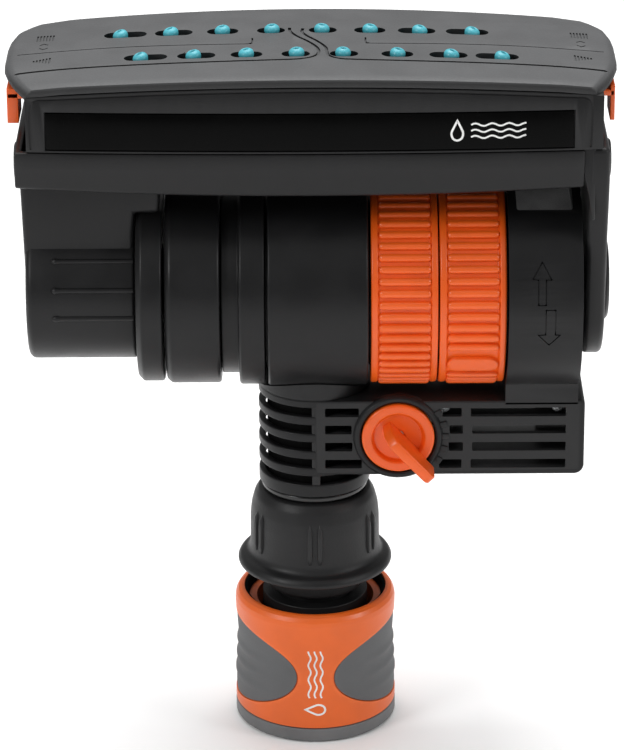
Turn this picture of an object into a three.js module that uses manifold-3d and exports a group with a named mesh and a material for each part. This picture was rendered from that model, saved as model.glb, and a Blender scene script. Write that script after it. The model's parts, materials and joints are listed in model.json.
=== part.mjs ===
// Oscillating garden sprinkler on a hose quick coupling, in millimetres, +Z up.
// The origin is on the inlet axis, at the bottom of the coupling.
// The head, with its rows of nozzles, swings about a horizontal axis along X.
import * as THREE from 'three';
import { mergeVertices } from 'three/addons/utils/BufferGeometryUtils.js';
import Module from 'manifold-3d';

const wasm = await Module();
wasm.setup();

// ---------------------------------------------------------------- driving dimensions
const GAP = 0.3; // between pieces that touch
const SLEEVE_R = 20; // coupling sleeve
const SLEEVE_TOP = 34.3;
const END_RING_TOP = 3.6;
const SLEEVE_LEDGE = 20.5; // spring seat inside the sleeve
const SOCKET_R = 9.6; // coupling's socket for the inlet nipple
const NIPPLE_R = 9.3;
const NIPPLE_BOTTOM = 18.2;
const ADAPTER_TOP = 62;
const TUBE_R = 11.5; // water tube inside the column
const COLUMN_R = 13.6;
const COLUMN_WALL = 1.6;
const COLUMN_BOTTOM = 63.9;
const SHELF_BOTTOM = 70;
const SHELF_TOP = 89.5;
const SHELF_RIGHT = 65.5;
const VENT_HEIGHT = 2.3;
const VENT_PITCH = 4.53;
const VENT_LOWEST = 68.4; // centre of the lowest gap, on the column only
const VENT_COUNT = 5;
const KNOB_X = 20.3;
const KNOB_Z = 80.2;
const KNOB_R = 8.8;
const KNOB_LEVER_ANGLE = -47; // degrees above +X, seen from the front
const AXIS_Z = 115.9; // swing axis
const DRUM_R = 25.5;
const CORE_R = 20.6; // the drum's slim part, which carries the two range rings
const CORE_BORE_R = 18.8;
const RING_R = 25.35;
const RING_RIBS = 54;
const HOUSING_LEFT = 46.2; // gear housing
const HOUSING_RIGHT = 63.75;
const HOUSING_R = 26;
const ARM_LEFT = 64.5; // right arm of the head
const ARM_RIGHT = 69.4;
const AXLE_R = 8;
const HEAD_LEFT = -70;
const UPPER_LEFT = -68.4; // the upper shell ends short of the lower one, behind the handle
const HEAD_HALF_DEPTH = 26.8;
const HEAD_BOTTOM = 146.6;
const SPLIT_Z = 157.6; // between the head's lower and upper shells
const COVER_TOP = 176.9;
const COVER_LEFT = -72.5;
const COVER_RIGHT = 71.7;
const FRONT_ROW_Y = -10.5; // nozzle rows
const BACK_ROW_Y = 7.1;
const NOZZLE_PIVOT_Z = 171.6;
const NOZZLE_LENGTH = 6.75; // pivot to tip
const TIP_R = 1.8;
const NOZZLE_LEAN = [5, 10.5, 16, 21]; // degrees, from the innermost nozzle outwards
const TIP_ROOM = [1.2, 2, 3.5, 4.7]; // free slot beside each tip, towards the middle
const FRONT_TIPS = [-40.7, -28.2, -15.7, -3.8, 7.3, 20.2, 32.9, 44.9];
const BACK_TIPS = [-46.1, -34.0, -21.6, -9.7, 2.4, 14.0, 25.9, 38.5];
const SLIDER_TRAVEL = 8;
const SLIDER_Z = 172;

const radians = THREE.MathUtils.degToRad;

// ---------------------------------------------------------------- solids
function solidOf(geometry) {
  geometry.deleteAttribute('normal');
  geometry.deleteAttribute('uv');
  const merged = mergeVertices(geometry, 1e-4);
  const place = merged.attributes.position.array;
  const corners = [];
  let volume = 0;
  for (let i = 0; i < merged.index.count; i += 3) {
    const [a, b, c] = merged.index.array.slice(i, i + 3);
    if (a === b || b === c || c === a) continue;
    const [p, q, r] = [a, b, c].map((k) => new THREE.Vector3().fromArray(place, 3 * k));
    volume += p.dot(q.cross(r));
    corners.push([a, b, c]);
  }
  const triVerts = Uint32Array.from(corners.flatMap(([a, b, c]) => (volume > 0 ? [a, b, c] : [a, c, b])));
  return new wasm.Manifold(new wasm.Mesh({ numProp: 3, vertProperties: Float32Array.from(place), triVerts }));
}

function geometryOf(solid) {
  const mesh = solid.getMesh();
  const geometry = new THREE.BufferGeometry();
  geometry.setAttribute('position', new THREE.Float32BufferAttribute(mesh.vertProperties, 3));
  geometry.setIndex(new THREE.Uint32BufferAttribute(mesh.triVerts, 1));
  geometry.computeVertexNormals();
  return geometry;
}

const union = (...solids) => solids.flat().reduce((whole, piece) => whole.add(piece));
const cut = (solid, ...tools) => tools.flat().reduce((left, tool) => left.subtract(tool), solid);

function box([x0, x1], [y0, y1], [z0, z1]) {
  const geometry = new THREE.BoxGeometry(x1 - x0, y1 - y0, z1 - z0);
  return solidOf(geometry.translate((x0 + x1) / 2, (y0 + y1) / 2, (z0 + z1) / 2));
}

// A profile is a list of [radius, height] that closes on itself.
function turned(profile, segments) {
  const points = [...profile, profile[0]].map(([r, h]) => new THREE.Vector2(r, h));
  return new THREE.LatheGeometry(points, segments);
}
const turnedZ = (profile, segments = 24) => solidOf(turned(profile, segments).rotateX(Math.PI / 2));
const turnedX = (profile, segments = 32) => solidOf(turned(profile, segments).rotateZ(-Math.PI / 2));
const turnedY = (profile, segments = 24) => solidOf(turned(profile, segments));

function extruded(outline, depth) {
  const shape = new THREE.Shape(outline.map(([a, b]) => new THREE.Vector2(a, b)));
  return new THREE.ExtrudeGeometry(shape, { depth, bevelEnabled: false });
}
const basis = (x, y, z) => new THREE.Matrix4().makeBasis(...[x, y, z].map((v) => new THREE.Vector3(...v)));
const TO_X = basis([0, 1, 0], [0, 0, 1], [1, 0, 0]);
const TO_Y = basis([1, 0, 0], [0, 0, 1], [0, -1, 0]);
const prismX = (outline, [x0, x1]) => solidOf(extruded(outline, x1 - x0).applyMatrix4(TO_X).translate(x0, 0, 0));
const prismY = (outline, [y0, y1]) => solidOf(extruded(outline, y1 - y0).applyMatrix4(TO_Y).translate(0, y1, 0));
const prismZ = (outline, [z0, z1]) => solidOf(extruded(outline, z1 - z0).translate(0, 0, z0));

const arc = (x, y, r, from, to, steps) => Array.from({ length: steps + 1 }, (_, i) => {
  const angle = radians(from + ((to - from) * i) / steps);
  return [x + r * Math.cos(angle), y + r * Math.sin(angle)];
});
const circle = (x, y, r, steps = 20) => arc(x, y, r, 0, 360 * (1 - 1 / steps), steps - 1);

// Outline of a slot from one centre to another with round ends.
function slotOutline([x0, y0], [x1, y1], r) {
  const angle = THREE.MathUtils.radToDeg(Math.atan2(y1 - y0, x1 - x0));
  return [...arc(x1, y1, r, angle - 90, angle + 90, 4), ...arc(x0, y0, r, angle + 90, angle + 270, 4)];
}

// A solid through outlines of [y, z] at stations along X, all with the same number of points.
function loftX(stations, outlineAt) {
  const clockwise = THREE.ShapeUtils.isClockWise(outlineAt(stations[0]).map(([y, z]) => new THREE.Vector2(y, z)));
  const ordered = (x) => (clockwise ? outlineAt(x).reverse() : outlineAt(x));
  const rings = stations.map((x) => ordered(x).map(([y, z]) => [x, y, z]));
  const count = rings[0].length;
  const last = (stations.length - 1) * count;
  const faces = [];
  for (let s = 0; s < stations.length - 1; s++) {
    for (let i = 0; i < count; i++) {
      const a = s * count + i;
      const b = s * count + ((i + 1) % count);
      faces.push(a, b, b + count, a, b + count, a + count);
    }
  }
  const contour = rings[0].map(([, y, z]) => new THREE.Vector2(y, z));
  for (const [a, b, c] of THREE.ShapeUtils.triangulateShape(contour, [])) {
    faces.push(a, c, b, last + a, last + b, last + c);
  }
  const geometry = new THREE.BufferGeometry();
  geometry.setAttribute('position', new THREE.Float32BufferAttribute(rings.flat(2), 3));
  geometry.setIndex(faces);
  return solidOf(geometry);
}

// An oval patch wrapped round the Z axis between two radii.
function wrappedPatch(middle, height, halfAngle, halfHeight, inner, outer) {
  const around = 20;
  const rings = 3;
  const points = [];
  const faces = [];
  const at = (layer, ring, step) => {
    if (ring === 0) return layer * (rings * around + 1);
    return layer * (rings * around + 1) + 1 + (ring - 1) * around + (step % around);
  };
  for (const radius of [inner, outer]) {
    for (let ring = 0; ring <= rings; ring++) {
      for (let step = 0; step < (ring ? around : 1); step++) {
        const turn = (2 * Math.PI * step) / around;
        const angle = radians(middle + (halfAngle * ring * Math.cos(turn)) / rings);
        const z = height + (halfHeight * ring * Math.sin(turn)) / rings;
        points.push(radius * Math.cos(angle), radius * Math.sin(angle), z);
      }
    }
  }
  for (let step = 0; step < around; step++) {
    faces.push(at(1, 0, 0), at(1, 1, step), at(1, 1, step + 1));
    faces.push(at(0, 0, 0), at(0, 1, step + 1), at(0, 1, step));
    for (let ring = 1; ring < rings; ring++) {
      const [a, b] = [at(1, ring, step), at(1, ring, step + 1)];
      const [c, d] = [at(1, ring + 1, step + 1), at(1, ring + 1, step)];
      faces.push(a, c, b, a, d, c);
      const [e, f] = [at(0, ring, step), at(0, ring, step + 1)];
      const [g, h] = [at(0, ring + 1, step + 1), at(0, ring + 1, step)];
      faces.push(e, f, g, e, g, h);
    }
    const [p, q] = [at(0, rings, step), at(0, rings, step + 1)];
    const [r, s] = [at(1, rings, step + 1), at(1, rings, step)];
    faces.push(p, q, r, p, r, s);
  }
  const geometry = new THREE.BufferGeometry();
  geometry.setAttribute('position', new THREE.Float32BufferAttribute(points, 3));
  geometry.setIndex(faces);
  return solidOf(geometry);
}

// Gear teeth of trapezium section on a disc, with one tooth centred on the phase in degrees.
function gear(teeth, module, phase, span) {
  const pitchR = (teeth * module) / 2;
  const pitchAngle = 360 / teeth;
  const outline = [];
  for (let tooth = 0; tooth < teeth; tooth++) {
    const middle = phase + tooth * pitchAngle;
    const corners = [[-0.3, -1.2], [-0.2, 0], [-0.1, 0.85], [0.1, 0.85], [0.2, 0], [0.3, -1.2]];
    for (const [share, depth] of corners) {
      const angle = radians(middle + share * pitchAngle);
      const r = pitchR + depth * module;
      outline.push([r * Math.cos(angle), r * Math.sin(angle)]);
    }
  }
  return prismX(outline, span);
}

function helix(radius, wire, turns, length) {
  const steps = Math.round(turns * 9);
  const path = Array.from({ length: steps + 1 }, (_, i) => {
    const turn = (2 * Math.PI * turns * i) / steps;
    return new THREE.Vector3(radius * Math.cos(turn), radius * Math.sin(turn), (length * i) / steps);
  });
  const section = new THREE.Shape(circle(0, 0, wire, 5).map(([x, y]) => new THREE.Vector2(x, y)));
  const extrudePath = new THREE.CatmullRomCurve3(path);
  return solidOf(new THREE.ExtrudeGeometry(section, { steps, extrudePath, bevelEnabled: false }));
}

// ---------------------------------------------------------------- materials and nodes
const plastic = (color, roughness = 0.55) => new THREE.MeshStandardMaterial({ color, roughness, metalness: 0 });
const steel = () => new THREE.MeshStandardMaterial({ color: 0xb4b6b8, roughness: 0.35, metalness: 1 });
const BLACK = 0x2a2a2b;
const COVER_GREY = 0x3b3c3e;
const ORANGE = 0xe8622a;
const GREY = 0x6d6f70;
const TEAL = 0x4fc0ce;
const GLOSS_BLACK = 0x0c0c0d;
const CREAM = 0xd9d6cb;

const sprinkler = new THREE.Group();

function group(parent, x = 0, y = 0, z = 0) {
  const made = new THREE.Group();
  made.position.set(x, y, z);
  parent.add(made);
  return made;
}

function add(parent, name, solid, material) {
  const mesh = new THREE.Mesh(geometryOf(solid), material);
  mesh.name = name;
  parent.add(mesh);
  return mesh;
}

// ---------------------------------------------------------------- quick coupling
const coupling = group(sprinkler);
const CLAW_COUNT = 3;
const CLAW_Z = [22.9, 26.1];
const BARREL_R = 13;

function radialBox(angle, [r0, r1], width, height) {
  return box([r0, r1], [-width / 2, width / 2], height).rotate([0, 0, angle]);
}

function couplingBarrel() {
  const profile = [
    [5, 0.9], [6.5, 0.9], [6.5, 7], [10.4, 7], [10.4, 9.6], [16.2, 9.6], [16.2, 11.4],
    [BARREL_R, 11.4], [BARREL_R, 33.6], [SOCKET_R + 0.4, 33.6], [SOCKET_R, 33], [SOCKET_R, 16], [5, 16],
  ];
  const windows = [];
  for (let i = 0; i < CLAW_COUNT; i++) {
    windows.push(radialBox(90 + i * 120, [8, 15], 6, [CLAW_Z[0] - GAP, CLAW_Z[1] + GAP]));
  }
  return cut(turnedZ(profile), windows);
}

function lockingClaws() {
  const ring = turnedZ([[13.3, CLAW_Z[0]], [14.2, CLAW_Z[0]], [14.2, CLAW_Z[1]], [13.3, CLAW_Z[1]]]);
  const teeth = [];
  for (let i = 0; i < CLAW_COUNT; i++) teeth.push(radialBox(90 + i * 120, [8.6, 13.8], 5.2, CLAW_Z));
  return union(ring, teeth);
}

const hoseNut = () => turnedZ([
  [8.6, 0.6], [14.9, 0.6], [15.6, 1.3], [15.6, 9.2], [10.8, 9.2], [10.8, 3.2], [8.6, 3.2],
]);

const PAD = { height: 17.2, halfAngle: 76, halfHeight: 10.8 };

function sleeveShell() {
  const profile = [
    [18.2, 3.9], [SLEEVE_R, 3.9], [19.4, 20], [19.8, 32], [18.6, SLEEVE_TOP], [17.5, SLEEVE_TOP], [17.5, 31.5],
    [14.5, 31.5], [14.5, SLEEVE_LEDGE],
    [16.6, SLEEVE_LEDGE], [16.6, 7.6], [18.2, 7],
  ];
  const recess = (middle) => wrappedPatch(middle, PAD.height, PAD.halfAngle + 1, PAD.halfHeight + GAP, 18.8, 22);
  return cut(turnedZ(profile, 32), recess(0), recess(180));
}

const sleeveGrip = (middle) => wrappedPatch(middle, PAD.height, PAD.halfAngle, PAD.halfHeight, 19.1, 19.95);

const sleeveEndRing = () => turnedZ([
  [17.2, 0], [SLEEVE_R, 0], [SLEEVE_R, END_RING_TOP], [17.9, END_RING_TOP], [17.9, 6.7], [17.2, 6.7],
], 32);

add(coupling, 'coupling_barrel', couplingBarrel(), plastic(GREY));
add(coupling, 'locking_claws', lockingClaws(), plastic(CREAM));
add(coupling, 'hose_nut', hoseNut(), plastic(GREY));
add(coupling, 'sleeve_spring', helix(15.2, 0.5, 3.5, 7.2).translate([0, 0, 12.3]), steel());
add(coupling, 'sleeve_shell', sleeveShell(), plastic(ORANGE, 0.45));
add(coupling, 'sleeve_grip_left', sleeveGrip(180), plastic(GREY, 0.8));
add(coupling, 'sleeve_grip_right', sleeveGrip(0), plastic(GREY, 0.8));
add(coupling, 'sleeve_end_ring', sleeveEndRing(), plastic(GREY, 0.7));

// ---------------------------------------------------------------- inlet and column
const base = group(sprinkler);
const FILTER_SEAT = 51;
const ADAPTER_BORE_R = 6.5;

function inletAdapter() {
  const profile = [
    [ADAPTER_BORE_R, NIPPLE_BOTTOM], [8.9, NIPPLE_BOTTOM], [NIPPLE_R, 18.8], [NIPPLE_R, 19.4], [8.2, 19.4],
    [8.2, 21.4], [NIPPLE_R, 21.4], [NIPPLE_R, 22.4], [7.9, 22.4], [7.9, 26.6], [NIPPLE_R, 26.6],
    [NIPPLE_R, 35.6], [12, 35.6], [12, 40.6], [18.6, 41.4], [19.1, 42.3], [18.8, 43.4], [15.6, 45],
    [15.6, 56.5], [13.85, ADAPTER_TOP], [TUBE_R + GAP, ADAPTER_TOP],
    [TUBE_R + GAP, FILTER_SEAT], [ADAPTER_BORE_R, FILTER_SEAT],
  ];
  const ribs = [];
  for (let i = 0; i < 6; i++) {
    ribs.push(radialBox(-90 + i * 60, [14.5, 16.2], 5, [46, 55.5]));
  }
  return union(turnedZ(profile), ribs);
}

function filterScreen() {
  const cup = turnedZ([
    [0, 38], [6.1, 38], [6.1, FILTER_SEAT + GAP], [11.2, FILTER_SEAT + GAP], [11.2, 52.1], [5.4, 52.1],
    [5.4, 38.8], [0, 38.8],
  ], 20);
  const slots = [];
  for (let i = 0; i < 4; i++) slots.push(radialBox(i * 90, [4, 8], 3, [40, 50]));
  return cut(cup, slots);
}

// The water tube, with the valve block on its right: water leaves the tube below a partition,
// passes the plug and comes back above it.
const TUBE_BORE_R = 9.2;
const TUBE_BOTTOM = 52.4;
const TUBE_TOP = 93;
const PLUG_R = 5.8;
const PLUG_BORE_R = 6;
const VALVE_FRONT = -9;
const VALVE_BACK = 8;
const VALVE_PORTS = [KNOB_Z - 3, KNOB_Z + 3];

function waterTube() {
  const tube = turnedZ([[0, TUBE_BOTTOM], [TUBE_R, TUBE_BOTTOM], [TUBE_R, TUBE_TOP], [0, TUBE_TOP]]);
  const block = box([6, KNOB_X + 7.6], [VALVE_FRONT, VALVE_BACK], [72.4, 87.6]);
  const bore = (from, to) => turnedZ([[0, from], [TUBE_BORE_R, from], [TUBE_BORE_R, to], [0, to]], 20);
  const plugBore = prismY(circle(KNOB_X, KNOB_Z, PLUG_BORE_R), [VALVE_FRONT - 1, VALVE_BACK - 1.5]);
  const ports = VALVE_PORTS.map((z) => prismX(circle(0, z, 2.2, 8), [4, KNOB_X - 2]));
  return cut(union(tube, block), bore(TUBE_BOTTOM - 1, KNOB_Z - 0.8), bore(KNOB_Z + 0.8, TUBE_TOP + 1), plugBore, ports);
}

const ventHeights = Array.from({ length: VENT_COUNT }, (_, i) => VENT_LOWEST + i * VENT_PITCH);
const KNOB_BEZEL_R = 10.4;
const SHELF_WALL = 1.6;
const COVER_X = [14.5, 64.4]; // back cover of the shelf
const COVER_Z = [71.8, 87.7];
const SCREW_X = [32, 60];

// Outline of the gear housing: a cylinder standing on the shelf.
const housingOutline = () => [
  ...arc(0, AXIS_Z, HOUSING_R, -58, 238, 28),
  [-COLUMN_R, AXIS_Z - 21], [-COLUMN_R, SHELF_TOP - 1], [COLUMN_R, SHELF_TOP - 1], [COLUMN_R, AXIS_Z - 21],
];

function baseHousing() {
  const column = turnedZ([
    [0, COLUMN_BOTTOM], [COLUMN_R, COLUMN_BOTTOM], [COLUMN_R, 96], [0, 96],
  ], 32);
  const corner = 2.4;
  const shelf = prismY([
    [0, SHELF_BOTTOM], ...arc(SHELF_RIGHT - corner, SHELF_BOTTOM + corner, corner, -90, 0, 5),
    ...arc(SHELF_RIGHT - 1, SHELF_TOP - 1, 1, 0, 90, 3), [0, SHELF_TOP],
  ], [-COLUMN_R, COLUMN_R]);
  const housing = prismX(housingOutline(), [HOUSING_LEFT, HOUSING_RIGHT]);
  const bezel = prismY(circle(KNOB_X, KNOB_Z, KNOB_BEZEL_R, 28), [-14.5, -12]);
  const solid = union(column, shelf, housing, bezel);

  const tubeSpace = turnedZ([[0, 60], [COLUMN_R - COLUMN_WALL, 60], [COLUMN_R - COLUMN_WALL, 97], [0, 97]]);
  const drumSpace = turnedX([[0, -30], [DRUM_R + GAP, -30], [DRUM_R + GAP, HOUSING_LEFT - 0.1], [0, HOUSING_LEFT - 0.1]])
    .translate([0, 0, AXIS_Z]);
  const valveSpace = box([0, COVER_X[1]], [-COLUMN_R + SHELF_WALL, COLUMN_R - SHELF_WALL], [71.6, 87.9]);
  const backOpening = box([COVER_X[0] - GAP, COVER_X[1] + GAP], [8, 20], [COVER_Z[0] - GAP, COVER_Z[1] + GAP]);
  const knobHole = prismY(circle(KNOB_X, KNOB_Z, KNOB_R + GAP, 28), [-20, -11]);
  const gearSpace = turnedX([[0, 44], [CORE_R + GAP, 44], [CORE_R + GAP, 49.3], [CORE_BORE_R, 49.3], [CORE_BORE_R, 61.4], [0, 61.4]])
    .translate([0, 0, AXIS_Z]);
  const shaftHole = turnedX([[0, 60], [4.4, 60], [4.4, 65], [0, 65]], 16).translate([0, 0, AXIS_Z]);
  const topPocket = box([48.2, 61.6], [-13, 13], [AXIS_Z + 22.4, AXIS_Z + 30]);
  return cut(
    solid, tubeSpace, drumSpace, valveSpace, backOpening, knobHole, gearSpace, shaftHole, topPocket, columnVents(), shelfVents(),
  );
}

// Gaps round the column, broken by a post in front and one behind.
function columnVents() {
  return ventHeights.map((z) => {
    const low = z - VENT_HEIGHT / 2;
    const high = z + VENT_HEIGHT / 2;
    const ring = turnedZ([[10, low], [16, low], [16, high], [10, high]], 20);
    const posts = box([-1, 1.4], [-20, 20], [low - 1, high + 1]);
    const right = box([z > SHELF_BOTTOM ? 1 : 30, 40], [-20, 20], [low - 1, high + 1]);
    return cut(ring, posts, right);
  });
}

function shelfVents() {
  const rows = ventHeights.filter((z) => z > SHELF_BOTTOM);
  const front = [-16, -11.5];
  return rows.flatMap((z) => {
    const height = [z - VENT_HEIGHT / 2, z + VENT_HEIGHT / 2];
    const reach = Math.sqrt(Math.max(0, 11.6 ** 2 - (z - KNOB_Z) ** 2));
    return [
      box([2.6, KNOB_X - reach], front, height),
      box([KNOB_X + reach + 1.4, 35], front, height),
      box([37, 61], front, height),
    ];
  });
}

function backCover() {
  const plate = box(COVER_X, [12.1, COLUMN_R], COVER_Z);
  const vents = ventHeights.filter((z) => z > SHELF_BOTTOM).map(
    (z) => box([37, 55], [11, 15], [z - VENT_HEIGHT / 2, z + VENT_HEIGHT / 2]),
  );
  const holes = SCREW_X.map((x) => prismY(circle(x, KNOB_Z, 1.7, 10), [11, 15]));
  return cut(plate, vents, holes);
}

const coverScrew = () => turnedY([[0, 4], [1.4, 4], [1.4, 13.9], [2.9, 13.9], [2.9, 15.2], [0, 15.2]], 12);

function flowKnob() {
  const disc = turnedY([
    [2.5, -9.3], [4.2, -9.3], [4.2, -12.3], [KNOB_R, -12.3], [KNOB_R, -14.7], [KNOB_R - 0.3, -15], [6.3, -15],
    [6.0, -13.8], [0, -13.8], [0, -13.3], [2.5, -13.3],
  ], 28);
  const lever = prismY([[-4.4, -1.3], ...arc(10.4, 0, 1.3, -90, 90, 6), [-4.4, 1.3]], [-22, -12.6]);
  const slope = prismZ([[-9, -24], [3, -24], [-4.4, -19], [-9, -19]], [-5, 5]);
  const underside = box([8.5, 14], [-14.8, -10], [-5, 5]);
  const stemBore = turnedY([[0, -8], [2.5, -8], [2.5, -13.3], [0, -13.3]], 20);
  return cut(union(disc, cut(lever, slope, underside).rotate([0, -KNOB_LEVER_ANGLE, 0])), stemBore);
}

function valvePlug() {
  const plug = turnedY([[0, 6], [PLUG_R, 6], [PLUG_R, -8.7], [2.1, -8.7], [2.1, -13], [0, -13]], 20);
  return cut(plug, box([-7, -2], [-4, 4], [-4.4, 4.4]));
}

add(base, 'inlet_adapter', inletAdapter(), plastic(BLACK, 0.7));
add(base, 'nipple_o_ring', solidOf(new THREE.TorusGeometry(8.85, 0.55, 5, 20)), plastic(GLOSS_BLACK, 0.5))
  .position.set(0, 0, 20.4);
add(base, 'filter_screen', filterScreen(), plastic(CREAM));
add(base, 'column_seal', turnedZ([[11.8, 62.3], [12.8, 62.3], [12.8, 63.6], [11.8, 63.6]]), plastic(GLOSS_BLACK, 0.3));
add(base, 'water_tube', waterTube(), plastic(GLOSS_BLACK, 0.3));
add(base, 'base_housing', baseHousing(), plastic(BLACK));
add(base, 'back_cover', backCover(), plastic(BLACK));
const valve = group(base, KNOB_X, 0, KNOB_Z);
add(valve, 'flow_knob', flowKnob(), plastic(ORANGE, 0.4));
add(valve, 'valve_plug', valvePlug(), plastic(CREAM));
SCREW_X.forEach((x, i) => {
  add(base, `cover_screw_${i + 1}`, coverScrew(), steel()).position.set(x, 0, KNOB_Z);
});

// ---------------------------------------------------------------- drum on the swing axis
const drum = group(sprinkler, 0, 0, AXIS_Z);
const WALL_X = [11.4, 13.2]; // partition between the turbine chamber and the gears
const CHAMBER_R = 23.3;
const CORE_END = 49;

function drumBody() {
  const shell = turnedX([
    [21.5, -11], [DRUM_R, -11], [DRUM_R, 13], [CORE_R, 13], [CORE_R, CORE_END],
    [CORE_BORE_R, CORE_END], [CORE_BORE_R, WALL_X[1]], [2, WALL_X[1]], [2, WALL_X[0]], [CHAMBER_R, WALL_X[0]],
    [CHAMBER_R, -8], [21.5, -8],
  ]);
  const port = turnedZ([[0, -30], [TUBE_R + GAP, -30], [TUBE_R + GAP, -19], [0, -19]]);
  return cut(shell, port);
}

function bearingFlange() {
  return turnedX([
    [AXLE_R + 0.25, -22], [22.4, -22], [22.4, -17.9], [25.2, -17.9], [25.2, -11.7], [21.2, -11.7], [21.2, -9],
    [19, -9], [19, -15], [AXLE_R + 0.25, -15],
  ]);
}

function swivelDrum() {
  return turnedX([
    [AXLE_R + 0.35, -35.4], [24, -35.4], [24.8, -34.6], [24.8, -22.3], [20, -22.3], [20, -33.2],
    [AXLE_R + 0.35, -33.2],
  ]);
}

function axleTube() {
  return turnedX([[5.8, -47], [AXLE_R, -47], [AXLE_R, -14.6], [10.5, -14.6], [10.5, -12.4], [5.8, -12.4]], 20);
}

const rangeRing = (left, right) => turnedX([
  [CORE_R + 0.4, left], [RING_R, left], [RING_R, right], [CORE_R + 0.4, right],
], RING_RIBS);

const RING_LEFT = [13.6, 29.5];
const RING_RIGHT = [29.9, 45.7];
add(drum, 'drum_body', drumBody(), plastic(BLACK));
add(drum, 'bearing_flange', bearingFlange(), plastic(BLACK));
add(drum, 'swivel_drum', swivelDrum(), plastic(BLACK));
add(drum, 'axle_tube', axleTube(), plastic(GREY));
add(drum, 'range_ring_left', rangeRing(...RING_LEFT), plastic(ORANGE, 0.45));
add(drum, 'range_ring_right', rangeRing(...RING_RIGHT), plastic(ORANGE, 0.45));

// ---------------------------------------------------------------- drive train
// The turbine and the second gear turn on the swing axis, the first gear above it.
const TRAIN_MODULE = 0.8;
const TRAIN_PINION = 8;
const TRAIN_GEAR = 16;
const LAYSHAFT_Z = (TRAIN_MODULE * (TRAIN_PINION + TRAIN_GEAR)) / 2;
const UP = 90;
const DOWN = 270;
const rod = (r, span) => prismX(circle(0, 0, r, 10), span);

function turbineWheel() {
  const hub = turnedX([[0, 0], [5, 0], [5, 9], [0, 9]], 16);
  const blades = [];
  for (let i = 0; i < 10; i++) blades.push(box([1, 8], [3, 16], [-0.7, 0.7]).rotate([i * 36, 0, 0]));
  const pinion = gear(TRAIN_PINION, TRAIN_MODULE, UP, [14, 18]);
  return union(hub, blades, rod(1.7, [-4, 15]), pinion);
}

function firstGear() {
  const wheel = gear(TRAIN_GEAR, TRAIN_MODULE, DOWN + 180 / TRAIN_GEAR, [14.2, 17.8]);
  const pinion = gear(TRAIN_PINION, TRAIN_MODULE, DOWN, [17.8, 24]);
  return union(wheel, pinion, rod(1.3, [24, 26]));
}

function secondGear() {
  const wheel = gear(TRAIN_GEAR, TRAIN_MODULE, UP + 180 / TRAIN_GEAR, [19.4, 23.6]);
  return union(wheel, rod(2.4, [18.6, 27]));
}

const DRIVE_MODULE = 1;
const DRIVE_PINION = 8;
const OUTPUT_GEAR = 16;
const PINION_Y = (DRIVE_MODULE * (DRIVE_PINION + OUTPUT_GEAR)) / 2;
const drivePinion = () => union(gear(DRIVE_PINION, DRIVE_MODULE, 180 + 180 / DRIVE_PINION, [50, 58]), rod(1.8, [36, 60.6]));

function outputGear() {
  const wheel = gear(OUTPUT_GEAR, DRIVE_MODULE, 0, [50.5, 57.5]);
  const shaft = turnedX([[0, 48], [4, 48], [4, 69], [1.6, 69], [1.6, 60], [0, 60]], 16);
  return union(wheel, shaft);
}

function reversingLever() {
  const hub = turnedX([[1.4, 29], [3.4, 29], [3.4, 34], [1.4, 34]], 12);
  const arm = cut(prismX([[-1.6, 0], [1.6, 0], [1.1, 13], [-1.1, 13]], [30, 32.5]), rod(2, [28, 35]));
  const fork = prismX([[-6, -5.5], [6, -5.5], [4.5, -3], [2, -1.5], [-2, -1.5], [-4.5, -3]], [30, 32.5]);
  return union(hub, arm, cut(fork, rod(2, [28, 35])));
}

const train = group(drum);
add(train, 'turbine_wheel', turbineWheel(), plastic(CREAM));
add(train, 'reduction_gear_1', firstGear(), plastic(CREAM)).position.set(0, 0, LAYSHAFT_Z);
add(train, 'reduction_gear_2', secondGear(), plastic(CREAM));
add(train, 'drive_pinion', drivePinion(), plastic(CREAM)).position.set(0, PINION_Y, 0);
add(train, 'output_gear', outputGear(), plastic(CREAM));
add(train, 'reversing_lever', reversingLever(), plastic(ORANGE));
const toggle = add(train, 'reversing_spring', helix(1.6, 0.3, 4, 7), steel());
toggle.position.set(31, 0, -16);

// ---------------------------------------------------------------- head
const head = group(sprinkler);
const HEAD_WALL = 1.8;
const halfDepth = (x) => HEAD_HALF_DEPTH - 1.8 * (x / 64) ** 2;
const coverEdge = (x) => COVER_TOP - 0.8 - 2.4 * (x / 64) ** 2;
const coverMiddle = (x) => COVER_TOP - 3.6 * (Math.max(0, Math.abs(x) - 50) / 22) ** 1.5;
const COVER_EDGE_HEIGHT = 2;
const wallTop = (x) => coverEdge(x) - COVER_EDGE_HEIGHT - GAP;
const skirtBottom = (x) => HEAD_BOTTOM + 1.3 * (x / 64) ** 2;

function stationsBetween(from, to, count) {
  return Array.from({ length: count + 1 }, (_, i) => from + ((to - from) * i) / count);
}

const ARM_R = 18.6;
const ARM_SPAN = [-68.6, -42.6];
const DUCT_X = -49.5;
const RIB_FIRST = 32.5; // degrees from the top, towards the front
const RIB_PITCH = 21.7;
const SKIRT_RIGHT = 63.4;

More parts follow.
